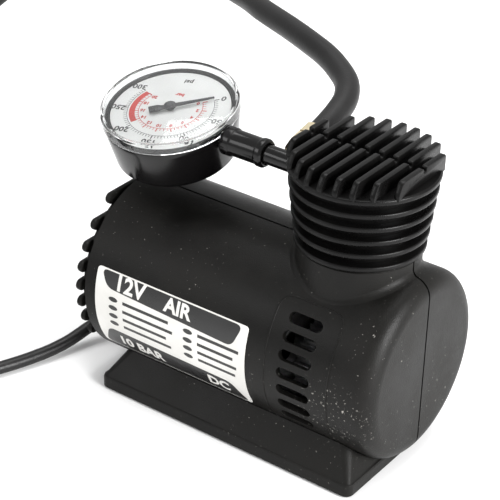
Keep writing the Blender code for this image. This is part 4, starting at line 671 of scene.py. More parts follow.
@dataclass
class Housing:
    """The drum along X in two shells, with the turret, its vents and its screws."""

    radius: float = 0.0361
    axis_z: float = 0.0388
    open_x: float = -0.0640
    end_x: float = 0.0626
    edge_round: float = 0.0070
    wall: float = 0.0022
    turret_x: float = 0.0329
    turret_radius: float = 0.0223
    turret_top: float = 0.0808
    fillet: float = 0.0032
    seam: float = 0.0008
    motor_radius: float = 0.0182
    motor_z: float = 0.0508
    ribs: tuple[float, ...] = (-0.0300, -0.0020)
    screws: tuple[Flat, ...] = ((-0.0560, 0.0685), (0.0530, 0.0620), (-0.0450, 0.0140), (0.0480, 0.0130))
    foot_screws: tuple[Flat, ...] = ((-0.0300, -0.0100), (0.0300, 0.0100))
    screw_seat: float = 0.0083

    def along_x(self, made: bpy.types.Object, z: float) -> bpy.types.Object:
        """Lay a piece built about Z along X at a height."""
        return placed(made, Matrix.Translation((0, 0, z)) @ Z_ONTO_X)

    def drum(self, name: str, shrink: float, start: float, facets: int) -> bpy.types.Object:
        """A solid drum, smaller than the outside by shrink."""
        edge = self.edge_round - shrink / 2
        radius, end = self.radius - shrink, self.end_x - shrink
        steps = 18
        side = [(radius, start + (end - edge - start) * k / steps) for k in range(steps)]
        disc = [(radius - edge - (radius - edge) * k / 4, end) for k in range(1, 5)]
        profile = [(0.0, start), *side, *arc((radius - edge, end - edge), edge, 0, 90, 8), *disc]
        return self.along_x(turned(name, profile, facets), self.axis_z)

    def fillet_collar(self) -> bpy.types.Object:
        """The rounded joint where the turret rises from the drum."""
        bm = bmesh.new()
        ball, count, steps = self.fillet, 96, 7
        rings = []
        for k in range(count):
            angle = math.tau * k / count
            out = self.turret_radius + ball - 0.00003
            x, y = self.turret_x + out * math.cos(angle), out * math.sin(angle)
            past = max(0.0, x - (self.end_x - self.edge_round))
            drop = self.edge_round - math.sqrt(max(0.0, self.edge_round ** 2 - past ** 2))
            drum = self.radius - drop
            z = self.axis_z + math.sqrt((drum + ball - 0.00003) ** 2 - y * y)
            centre = Vector((x, y, z))
            inward = Vector((-math.cos(angle), -math.sin(angle), 0.0))
            down = (Vector((x, 0.0, self.axis_z)) - centre).normalized()
            line = [centre + inward.slerp(down, n / steps) * ball for n in range(steps + 1)]
            core = Vector((self.turret_x + (self.turret_radius - 0.004) * math.cos(angle),
                           (self.turret_radius - 0.004) * math.sin(angle), 0.0))
            rings.append([bm.verts.new(v) for v in (*line,
                                                    Vector((line[-1].x, line[-1].y, line[-1].z - 0.0012)),
                                                    Vector((core.x, core.y, line[-1].z - 0.0016)),
                                                    Vector((core.x, core.y, line[0].z - 0.0004)))])
        for low, high in zip(rings, rings[1:] + rings[:1]):
            for k in range(len(low)):
                n = (k + 1) % len(low)
                bm.faces.new((low[k], low[n], high[n], high[k]))
        outward(bm)
        return finished(bm, "fillet_collar")

    def cavity(self) -> bpy.types.Object:
        """The space inside both shells, less the ribs, screw bosses and foot posts."""
        made = self.drum("cavity", self.wall, self.open_x - self.wall, 64)
        ribs = [self.along_x(turned("rib", [(0, x), (self.radius, x), (self.radius, x + 0.0018),
                                            (0, x + 0.0018)], 64),
                             self.axis_z) for x in self.ribs]
        combine(made, "DIFFERENCE", *ribs)
        room = self.along_x(turned("motor_room", [(0, -0.0336), (self.motor_radius, -0.0336),
                                                  (self.motor_radius, 0.0034), (0, 0.0034)], 48),
                                                  self.motor_z)
        well = placed(turned("well", [(0, self.axis_z), (self.turret_radius - self.wall, self.axis_z),
                                      (self.turret_radius - self.wall, self.turret_top + self.wall),
                                      (0, self.turret_top + self.wall)], 64),
                      Matrix.Translation((self.turret_x, 0, 0)))
        combine(made, "UNION", room, well)
        for x, z in self.screws:
            boss = turned("boss", [(0, -0.04), (0.0049, -0.04), (0.0049, 0.04), (0, 0.04)], 24)
            combine(made, "DIFFERENCE", placed(boss, Matrix.Translation((x, 0, z)) @ Matrix.Rotation(
                -math.pi / 2, 4, "X")))
        for x, y in self.foot_screws:
            post = turned("post", [(0, -0.001), (0.0035, -0.001), (0.0035, 0.0128), (0, 0.0128)], 24)
            combine(made, "DIFFERENCE", placed(post, Matrix.Translation((x, y, 0))))
        return made

    def vents(self) -> list[bpy.types.Object]:
        """The round-ended cutters through the front wall."""
        made = []
        for index in range(7):
            angle = 36.7 - index * 11.08
            ends = [*arc((0.0358, 0), 0.0021, -90, 90, 10), *arc((0.0261, 0), 0.0021, 90, 270, 10)]
            tool = prism("vent", ends, self.radius - 0.006, self.radius + 0.004)
            made.append(placed(tool, Matrix.Translation((0, 0, self.axis_z)) @ Matrix.Rotation(
                math.pi / 2 - math.radians(angle), 4, "X")))
        return made

    def build(self) -> None:
        """Build and dress both shells, the vent panel's outline and the screws."""
        body = self.drum("housing", 0.0, self.open_x, 128)
        turret = placed(turned("turret", [(0, self.axis_z), (self.turret_radius, self.axis_z),
                                          (self.turret_radius, self.turret_top - 0.0006),
                                          (self.turret_radius - 0.0006, self.turret_top),
                                          (0, self.turret_top)], 96),
                        Matrix.Translation((self.turret_x, 0, 0)))
        combine(body, "UNION", turret, self.fillet_collar())
        combine(body, "DIFFERENCE", self.cavity())
        rear = body.copy()
        rear.data = body.data.copy()
        bpy.context.scene.collection.objects.link(rear)
        half = self.seam / 2
        combine(body, "DIFFERENCE", block("keep", (-0.2, -half, -0.2), (0.2, 0.2, 0.2)), *self.vents())
        combine(rear, "DIFFERENCE", block("keep", (-0.2, -0.2, -0.2), (0.2, half, 0.2)))
        for x, z in self.screws:
            hole = turned("hole", [(0, -0.009), (0.0017, -0.009), (0.0017, 0.0080), (0.0031, 0.0080),
                                   (0.0031, 0.05),
                                   (0, 0.05)], 32)
            turn = Matrix.Translation((x, 0, z)) @ Matrix.Rotation(-math.pi / 2, 4, "X")
            copy = hole.copy()
            copy.data = hole.data.copy()
            bpy.context.scene.collection.objects.link(copy)
            combine(body, "DIFFERENCE", placed(hole, turn))
            combine(rear, "DIFFERENCE", placed(copy, turn))
        for (x, y), shell in zip(self.foot_screws, (body, rear)):
            drill = turned("drill", [(0, -0.001), (0.0017, -0.001), (0.0017, 0.0113), (0, 0.0113)], 24)
            combine(shell, "DIFFERENCE", placed(drill, Matrix.Translation((x, y, 0))))
        body.name, rear.name = "shell_front", "shell_rear"
        dress(crease(body), MOULDED, Body.BASE, "front_shell")
        dress(crease(rear), MOULDED, Body.BASE, "rear_shell")
        self.panel_line()
        self.build_screws()

    def panel_line(self) -> None:
        """The faint raised outline round the vents."""
        low_x, high_x, low_s, high_s = 0.0186, 0.0452, -0.0262, 0.0302
        flat = eased([(low_x, low_s), (high_x, low_s), (high_x, high_s), (low_x, high_s)], 0.0060, True, 8)
        dense: list[Flat] = []
        for (ax, ay), (bx, by) in zip(flat, flat[1:] + flat[:1]):
            count = max(1, round(math.hypot(bx - ax, by - ay) / 0.0012))
            dense += [(ax + (bx - ax) * k / count, ay + (by - ay) * k / count) for k in range(count)]
        reach = self.radius - 0.00004
        path = [Vector((x, -reach * math.cos(s / reach), self.axis_z + reach * math.sin(s / reach)))
                for x, s in dense]
        dress(swept("vent_panel_outline", path, circle(0.00030, 8), loop=True), MOULDED, Body.BASE)

    def build_screws(self) -> None:
        """The cross-recessed screws that hold the shells together and the foot on."""
        head = turned("screw", [(0, -0.0163), (0.0007, -0.0163), (0.0014, -0.0149), (0.0014, 0.0),
                                (0.0027, 0.0),
                                (0.0028, 0.0007), (0.0022, 0.0016), (0.0, 0.0018)], 32, 0.0002)
        for turn in (0, 90):
            slot = placed(block("slot", (-0.0017, -0.0003, 0.0009), (0.0017, 0.0003, 0.0030)),
                          Matrix.Rotation(math.radians(turn), 4, "Z"))
            combine(head, "DIFFERENCE", slot)
        places = [((x, self.screw_seat, z), (-math.pi / 2, 0, 0), (1, 1, 1)) for x, z in self.screws]
        dress(Row.stand("housing_screws", head, STEEL, places), STEEL, Body.BASE,
              *(f"shell_screw_{n}" for n in range(1, 5)))
        short = turned("screw", [(0, -0.0088), (0.0007, -0.0088), (0.0014, -0.0078), (0.0014, 0.0),
                                 (0.0027, 0.0),
                                 (0.0028, 0.0007), (0.0022, 0.0016), (0.0, 0.0018)], 32, 0.0002)
        places = [((x, y, 0.0021), (math.pi, 0, 0), (1, 1, 1)) for x, y in self.foot_screws]
        dress(Row.stand("foot_screws", short, STEEL, places), STEEL, Body.BASE, "foot_screw_1",
              "foot_screw_2")


@dataclass
class Grille:
    """The louvred end: bars across the drum's open end on two spines and a ring."""

    face_x: float = -0.0686
    depth: float = 0.0023
    height: float = 0.0046
    count: int = 8
    pitch: float = 0.00735
    top_z: float = 0.0701
    radius: float = 0.0364
    axis_z: float = 0.0388
    ring_radius: float = 0.0336

    def bar(self, index: int) -> bpy.types.Object:
        """One bar, with round ends and softened edges."""
        z = self.top_z - index * self.pitch
        near = min(abs(z - self.axis_z), self.radius - self.height / 2)
        reach = math.sqrt(self.radius ** 2 - near ** 2)
        half = self.height / 2
        outline = [*arc((reach - half, 0), half, -90, 90, 12), *arc((half - reach, 0), half, 90, 270, 12)]
        made = prism("bar", outline, self.face_x, self.face_x + self.depth, 0.0006)
        return placed(made, Matrix.Translation((0, 0, z)) @ X_ONTO_Y @ Matrix.Rotation(
            math.pi / 2, 4, "X"))

    def build(self) -> None:
        """Build and dress the grille as one piece."""
        back = self.face_x + self.depth
        parts = [self.bar(index) for index in range(self.count)]
        hoop = turned("hoop", [(self.ring_radius, back - 0.0006), (self.ring_radius, back + 0.0045),
                               (self.ring_radius - 0.002, back + 0.0045),
                               (self.ring_radius - 0.002, back - 0.0006)],
                      96, 0.0003, True)
        parts.append(placed(hoop,
                            Matrix.Translation((0, 0, self.axis_z)) @ Z_ONTO_X))
        for y in (-0.0140, 0.0140):
            reach = math.sqrt((self.ring_radius - 0.001) ** 2 - y * y)
            parts.append(block("spine", (back - 0.0011, y - 0.0011, self.axis_z - reach),
                               (back + 0.0022, y + 0.0011, self.axis_z + reach), 0.0003))
        dress(merged("louvre_grille", parts), MOULDED, Body.BASE, "rear_grille")


@dataclass
class Foot:
    """The plinth that the drum sits in."""

    length: float = 0.1142
    width: float = 0.0721
    rim: float = 0.0055
    top_length: float = 0.1000
    top_width: float = 0.0550
    top_z: float = 0.0165
    corner: float = 0.0030
    rear_corner: float = 0.0220
    drum_radius: float = 0.0364
    drum_z: float = 0.0388

    def outline(self, length: float, width: float, shrink: float) -> list[Flat]:
        """The foot's outline at one level, pulled in by shrink."""
        points: list[Flat] = []
        rear = self.rear_corner - (self.length - length) / 2
        for quarter, (sx, sy) in enumerate(((1, 1), (-1, 1), (-1, -1), (1, -1))):
            radius = rear if sy > 0 else self.corner
            centre = (sx * (length / 2 - radius), sy * (width / 2 - radius))
            points += arc(centre, max(0.0004, radius - shrink), 90 * quarter, 90 * quarter + 90,
                          16 if sy > 0 else 8)
        return points

    def build(self) -> None:
        """Loft the foot, cut its saddle, pockets and screw holes, and dress it."""
        bm = bmesh.new()
        full, top = (self.length, self.width), (self.top_length, self.top_width)
        levels = [(*full, 0.0005, 0.0), (*full, 0.0, 0.0005), (*full, 0.0, self.rim - 0.0012),
                  (*full, 0.0003, self.rim - 0.0004), (*full, 0.0010, self.rim)]
        levels += [(*top, -0.0007, self.top_z - 0.0012), (*top, 0.0, self.top_z - 0.0004),
                   (*top, 0.0009, self.top_z)]
        rings = [[bm.verts.new((x, y, z)) for x, y in self.outline(length, width, shrink)]
                 for length, width, shrink, z in levels]
        for low, high in zip(rings, rings[1:]):
            for k in range(len(low)):
                n = (k + 1) % len(low)
                bm.faces.new((low[k], low[n], high[n], high[k]))
        bm.faces.new(rings[0])
        bm.faces.new(rings[-1])
        outward(bm)
        made = finished(bm, "plinth_foot")
        saddle = turned("saddle",
                        [(0, -0.1), (self.drum_radius, -0.1), (self.drum_radius, 0.1), (0, 0.1)], 128)
        tools = [placed(saddle, Matrix.Translation((0, 0, self.drum_z)) @ Z_ONTO_X),
                 block("pocket", (-0.0541, -0.0330, -0.01), (0.0541, -0.0190, 0.0032), 0.0008),
                 block("pocket", (-0.0351, 0.0190, -0.01), (0.0351, 0.0330, 0.0032), 0.0008)]
        for x, y in Housing.foot_screws:
            tools.append(placed(turned("drill",
                                       [(0, -0.01), (0.0031, -0.01), (0.0031, 0.0024), (0.0017, 0.0024),
                                                 (0.0017, 0.02), (0, 0.02)], 32),
                                                 Matrix.Translation((x, y, 0))))
        combine(made, "DIFFERENCE", *tools)
        dress(crease(made, 35.0), MOULDED, Body.BASE, "foot")


# ---------------------------------------------------------------- label

@dataclass
class Label:
    """The printed label bent round the drum's front, with generic marks."""

    radius: float = 0.0365
    axis_z: float = 0.0388
    start_x: float = -0.0587
    end_x: float = 0.0105
    top: float = 22.0
    low: float = -35.0

    def bend(self, bm: bmesh.types.BMesh, name: str, lift: float) -> bpy.types.Object:
        """Cut a flat drawing into narrow strips and wrap it on the drum.

        Args:
            bm: the drawing, whose x is the place along the drum and whose y is the length round it.
            name: the result's name.
            lift: how far it stands from the drum's surface.
        Returns:
            The bent sheet.
        """
        ys = [v.co.y for v in bm.verts]
        level = math.floor(min(ys) / 0.0012) * 0.0012
        while level < max(ys):
            bmesh.ops.bisect_plane(bm, geom=[*bm.verts, *bm.edges, *bm.faces], plane_co=(0, level, 0),
                                   plane_no=(0, 1, 0), dist=1e-7)
            level += 0.0012
        for vert in bm.verts:
            angle = vert.co.y / self.radius
            reach = self.radius + lift + vert.co.z
            vert.co = (vert.co.x, -reach * math.cos(angle), self.axis_z + reach * math.sin(angle))
        bm.normal_update()
        for face in bm.faces:
            middle = face.calc_center_median()
            if face.normal.dot(Vector((0, middle.y, middle.z - self.axis_z))) < 0:
                face.normal_flip()
        return finished(bm, name)

    def shape(self, outline: Sequence[Flat]) -> bmesh.types.BMesh:
        """A flat patch from an outline of (x, degrees round the drum) corners."""
        bm = bmesh.new()
        bm.faces.new([bm.verts.new((x, math.radians(a) * self.radius, 0.0)) for x, a in outline])
        return bm

    def words(self, text: str, x: float, degrees: float, size: float) -> bmesh.types.BMesh:
        """Flat lettering, with its left end at x and its middle at an angle."""
        curve = bpy.data.curves.new("words", "FONT")
        curve.body, curve.size, curve.align_y, curve.resolution_u = text, size, "CENTER", 3
        curve.offset = 0.00026
        holder = bpy.data.objects.new("words", curve)
        bpy.context.scene.collection.objects.link(holder)
        bpy.context.view_layer.update()
        mesh = bpy.data.meshes.new_from_object(holder.evaluated_get(bpy.context.evaluated_depsgraph_get()))
        bpy.data.objects.remove(holder)
        mesh.transform(Matrix.Translation((x, math.radians(degrees) * self.radius, 0)))
        bm = bmesh.new()
        bm.from_mesh(mesh)
        return bm

    def build(self) -> None:
        """Build and dress the sheet and its print."""
        sheet = [(self.start_x, self.low), (self.end_x, self.low), (self.end_x, self.top),
                 (self.start_x, self.top)]
        flat = eased([(x, math.radians(a) * self.radius) for x, a in sheet], 0.0016, True, 5)
        bm = bmesh.new()
        face = bm.faces.new([bm.verts.new((x, y, 0.0)) for x, y in flat])
        grown = bmesh.ops.extrude_face_region(bm, geom=[face])
        bmesh.ops.translate(bm, vec=(0, 0, -0.00028), verts=[g for g in grown["geom"]
                                                            if isinstance(g, bmesh.types.BMVert)])
        outward(bm)
        dress(self.bend(bm, "label_sheet", 0.0), PAPER, Body.BASE, "side_label")
        top = [(-0.0532, 10.7), (0.0046, 7.1), (0.0080, self.top - 0.8), (-0.0568, self.top - 0.8)]
        top_flat = eased([(x, math.radians(a) * self.radius) for x, a in top], 0.0030, True, 5)
        low = [(-0.0578, self.low + 0.8), (0.0096, self.low + 0.8), (0.0035, -20.0), (-0.0536, -18.0)]
        low_flat = eased([(x, math.radians(a) * self.radius) for x, a in low], 0.0030, True, 5)
        bands = []
        for flat in (top_flat, low_flat):
            bm = bmesh.new()
            bm.faces.new([bm.verts.new((x, y, 0.0)) for x, y in flat])
            bands.append(self.bend(bm, "band", 0.00004))
        for column, x in enumerate((-0.0500, -0.0150)):
            for row in range(4):
                middle = 4.6 - 5.6 * row
                ring = arc((x, 0), 1.0, 0, 360, 24)[:-1]
                oval = [(x + 0.0021 * (px - x), middle + 1.55 * py) for px, py in ring]
                bands.append(self.bend(self.shape(oval), "oval", 0.00004))
                end = x + 0.0045 + (0.0215, 0.0235, 0.0205, 0.0225)[(row + column) % 4] * (1.0, 0.78)[column]
                bar = [(x + 0.0045, middle - 1.0), (end, middle - 1.0), (end, middle + 1.0),
                       (x + 0.0045, middle + 1.0)]
                bands.append(self.bend(self.shape(bar), "bar", 0.00004))
        dress(merged("label_bands", bands), INK, Body.BASE)
        white = [self.bend(self.words("12V", -0.0500, 15.6, 0.0088), "words", 0.00008),
                 self.bend(self.words("AIR", -0.0265, 15.2, 0.0078), "words", 0.00008),
                 self.bend(self.words("10 BAR", -0.0500, -26.4, 0.0068), "words", 0.00008),
                 self.bend(self.words("DC", -0.0080, -26.6, 0.0068), "words", 0.00008)]
        dress(merged("label_lettering", white), PAPER, Body.BASE)


# ---------------------------------------------------------------- cover

@dataclass
class FinnedCover:
    """The tapered stack of rings over the cylinder, with upright fins on its roof."""

    x: float = 0.0329
    low_z: float = 0.0812
    top_z: float = 0.1110
    low_radius: float = 0.0234
    top_radius: float = 0.0270
    rings: int = 6
    ring_thickness: float = 0.0024
    ring_depth: float = 0.0036
    wall: float = 0.0017
    fins: int = 9
    fin_pitch: float = 0.00575
    fin_shift: float = -0.0009
    fin_thickness: float = 0.0022
    fin_height: float = 0.0055
    notch_y: float = 0.0012
    notch_width: float = 0.0017
    notch_depth: float = 0.0020

    def radius(self, z: float) -> float:
        """The outside radius at a height."""
        rise = (z - self.low_z) / (self.top_z - self.low_z)
        return self.low_radius + rise * (self.top_radius - self.low_radius)

    def fin(self, index: int) -> bpy.types.Object:
        """One fin, with rounded ends and a notch across its middle."""
        offset = (index - (self.fins - 1) / 2) * self.fin_pitch + self.fin_shift
        reach = math.sqrt((self.top_radius - 0.0004) ** 2 - offset ** 2)
        low, top = self.top_z - 0.001, self.top_z + self.fin_height
        near, far = self.notch_y - self.notch_width / 2, self.notch_y + self.notch_width / 2
        crown = [(reach, low), (reach, top), (far, top), (far, top - self.notch_depth),
                 (near, top - self.notch_depth), (near, top), (0.0024 - reach, top), (-reach, top - 0.0042),
                 (-reach, low)]
        shape = eased(crown, 0.0014, False, 5)
        made = prism("fin", shape, offset - self.fin_thickness / 2, offset + self.fin_thickness / 2, 0.00035)
        return placed(made, Matrix.Translation((self.x, 0, 0)) @ X_ONTO_Y
                      @ Matrix.Rotation(math.pi / 2, 4, "X"))

    def build(self) -> None:
        """Build and dress the cover."""
        pitch = (self.top_z - self.low_z - self.ring_thickness) / (self.rings - 1)
        mean = 0.0252
        half = self.ring_thickness / 2
        hoop = turned("hoop", [(mean - self.ring_depth - 0.0004, -half), (mean, -half * 0.8),
                               (mean, half * 0.8),
                               (mean - self.ring_depth - 0.0004, half)], 96, 0.0006, True)
        places = []
        for index in range(self.rings):
            z = self.low_z + index * pitch + half
            size = self.radius(z) / mean
            places.append(((self.x, 0, z), (0, 0, 0), (size, size, 1)))
        stack = Row.stand("hoops", hoop, SATIN, places)
        root_low, root_top = self.low_radius - self.ring_depth, self.top_radius - self.ring_depth
        core = turned("core", [(0, self.top_z), (self.top_radius - 0.0008, self.top_z),
                               (self.top_radius - 0.0002, self.top_z - 0.0006),
                               (root_top + 0.0004, self.top_z - self.ring_thickness + 0.0002),
                               (root_low, self.low_z), (root_low - self.wall, self.low_z),
                               (root_top - self.wall, self.top_z - 0.0020), (0, self.top_z - 0.0020)], 96)
        placed(core, Matrix.Translation((self.x, 0, 0)))
        parts = [core, stack, *(self.fin(index) for index in range(self.fins))]
        dress(merged("finned_cover", parts), SATIN, Body.BASE, "head_cover")


# ---------------------------------------------------------------- gauge

@dataclass
class Gauge:
    """The pressure gauge: case, clear lens, printed dial and needle, tilted about X."""

    centre: tuple[float, float, float] = (-0.0522, -0.0006, 0.1092)
    tilt: float = 13.7
    radius: float = 0.0260
    depth: float = 0.0228
    base_radius: float = 0.0232
    skirt: float = 0.0050
    dial_radius: float = 0.0226
    dial_depth: float = 0.0046
    needle_depth: float = 0.0029
    zero: float = 45.0
    sweep: float = 242.0
    up: float = -76.0

    def stand(self, made: bpy.types.Object) -> bpy.types.Object:
        """Take a piece from the gauge's own frame to its place."""
        return placed(made, Matrix.Translation(self.centre) @ Matrix.Rotation(math.radians(self.tilt), 4,
                                                                              "X"))

    def text(self, words: str, angle: float, reach: float, size: float) -> bpy.types.Object:
        """Flat lettering on the dial, upright as the dial is printed."""
        curve = bpy.data.curves.new("words", "FONT")
        curve.body, curve.size, curve.resolution_u = words, size, 2
        curve.align_x, curve.align_y, curve.offset = "CENTER", "CENTER", 0.00010
        holder = bpy.data.objects.new("words", curve)
        bpy.context.scene.collection.objects.link(holder)
        bpy.context.view_layer.update()
        mesh = bpy.data.meshes.new_from_object(holder.evaluated_get(bpy.context.evaluated_depsgraph_get()))
        bpy.data.objects.remove(holder)
        made = bpy.data.objects.new("words", mesh)
        bpy.context.scene.collection.objects.link(made)
        spot = (reach * math.cos(math.radians(angle)), reach * math.sin(math.radians(angle)),
                0.00006 - self.dial_depth)
        return placed(made, Matrix.Translation(spot) @ Matrix.Rotation(math.radians(self.up - 90), 4, "Z"))

    def strip(self, inner: float, outer: float, start: float, end: float) -> bpy.types.Object:
        """A flat printed band between two angles."""
        count = max(2, round(abs(end - start) / 2))
        bm = bmesh.new()
        z = 0.00004 - self.dial_depth
        rows = [[bm.verts.new((r * math.cos(math.radians(start + (end - start) * k / count)),
                               r * math.sin(math.radians(start + (end - start) * k / count)), z))
                 for r in (inner, outer)] for k in range(count + 1)]
        for (a, b), (c, d) in zip(rows, rows[1:]):
            bm.faces.new((a, b, d, c))
        bm.normal_update()
        for face in bm.faces:
            if face.normal.z < 0:
                face.normal_flip()
        return finished(bm, "strip")

    def ticks(self, name: str, finish: Finish, reach: float, count: int, every: int) -> bpy.types.Object:
        """A ring of tick marks, each longer where it falls on a main division."""
        bm = bmesh.new()
        bm.faces.new([bm.verts.new(v) for v in ((0, -0.00012, 0), (0.0011, -0.00012, 0), (0.0011, 0.00012, 0),
                                                (0, 0.00012, 0))])
        places = []
        for k in range(count + 1):
            angle = math.radians(self.zero - self.sweep * k / count)
            long = k % every == 0
            places.append(((reach * math.cos(angle), reach * math.sin(angle), 0.00004 - self.dial_depth),
                           (0, 0, angle), (1.6 if long else 1.0, 1.9 if long else 1.0, 1)))
        return Row.stand(name, finished(bm, "tick"), finish, places)

    def dial(self) -> None:
        """The white dial and its print: an outer black scale and an inner red one."""
        disc = turned("disc", [(0.0012, -self.dial_depth), (self.dial_radius, -self.dial_depth),
                               (self.dial_radius, -self.dial_depth - 0.0006),
                               (0.0012, -self.dial_depth - 0.0006)],
                      96, closed=True)
        dress(self.stand(disc), DIAL, Body.BASE, "gauge_dial")
        black = [self.ticks("scale", DIAL_INK, 0.0166, 60, 10),
                 self.strip(0.01625, 0.01645, self.zero, self.zero - self.sweep)]
        for k in range(7):
            angle = self.zero - self.sweep * k / 6
            black.append(self.text(str(50 * k), angle, 0.0201, 0.0038))
        black += [self.text("psi", self.up + 180, 0.0172, 0.0032)]
        red = [self.ticks("scale", DIAL_RED, 0.0122, 40, 4),
               self.strip(0.01195, 0.01220, self.zero, self.zero - self.sweep),
               self.strip(0.0134, 0.0156, -122.0, -197.0)]
        for k in range(11):
            angle = self.zero - self.sweep * k / 10
            red.append(self.text(str(2 * k), angle, 0.0104, 0.0022))
        red += [self.text("bar", self.up + 180, 0.0088, 0.0026)]
        dress(self.stand(merged("dial_black_print", black)), DIAL_INK, Body.BASE)
        dress(self.stand(merged("dial_red_print", red)), DIAL_RED, Body.BASE)

    def needle(self) -> None:
        """The needle, with its counterweight and hub."""
        outline = [(0.0166, -0.00030), (0.0166, 0.00030), (0.0024, 0.00085), (-0.0030, 0.00095),
                   (-0.0044, 0.0017),
                   (-0.0080, 0.0017), (-0.0080, -0.0017), (-0.0044, -0.0017), (-0.0030, -0.00095),
                   (0.0024, -0.00085)]
        blade = prism("blade", eased(outline, 0.0005, True, 3), -self.needle_depth - 0.0006,
                      -self.needle_depth,
                      0.00008)
        hub = turned("hub", [(0, -self.needle_depth - 0.0006), (0.0023, -self.needle_depth - 0.0006),
                             (0.0023, -self.needle_depth + 0.0003), (0.0012, -self.needle_depth + 0.0008),
                             (0, -self.needle_depth + 0.0008)], 40, 0.0002)
        made = merged("dial_needle", [blade, hub])
        placed(made, Matrix.Rotation(math.radians(self.zero), 4, "Z"))
        dress(self.stand(made), CARBON, Body.NEEDLE, "gauge_needle")

    def build(self) -> None:
        """Build and dress the gauge."""
        rim_z = -self.skirt - 0.0003
        rim, lip = self.radius - 0.0006, self.radius - 0.0017
        floor = -self.depth
        case = turned("case", [
            (0, floor), (self.base_radius - 0.0012, floor), (self.base_radius, floor + 0.0014),
            (rim, rim_z - 0.0015), (rim, rim_z), (lip, rim_z), (lip, rim_z + 0.0017),
            (lip - 0.0012, rim_z + 0.0017),
            (self.base_radius - 0.0020, floor + 0.0020), (0, floor + 0.0020)], 128, 0.0006)
        post = turned("post", [(0.0011, floor + 0.0010), (0.0026, floor + 0.0010), (0.0026, -0.0108),
                               (0.0011, -0.0108)], 24, closed=True)
        pivot_x, pivot_y = 0.0120 * math.cos(math.radians(200)), 0.0120 * math.sin(math.radians(200))
        pins = [placed(turned("pin", [(0, floor + 0.0010), (r, floor + 0.0010), (r, top), (0, top)], 24),
                       Matrix.Translation((pivot_x, pivot_y, 0))) for r,
                       top in ((0.0011, -0.0074), (0.0017, -0.0099))]
        made = self.stand(merged("case_of_gauge", [case, post, *pins]))
        dress(made, GLOSS, Body.BASE, "gauge_case")
        inside = self.radius - 0.0014
        lens = turned("lens_of_gauge", [(0, 0), (self.radius - 0.0010, 0), (self.radius, -0.0009),
                                        (self.radius, -self.skirt), (inside, -self.skirt), (inside, -0.0016),
                                        (0, -0.0016)], 128, 0.0004)
        dress(self.stand(lens), CLEAR, Body.BASE, "gauge_lens")
        self.dial()
        self.needle()


# ---------------------------------------------------------------- air line

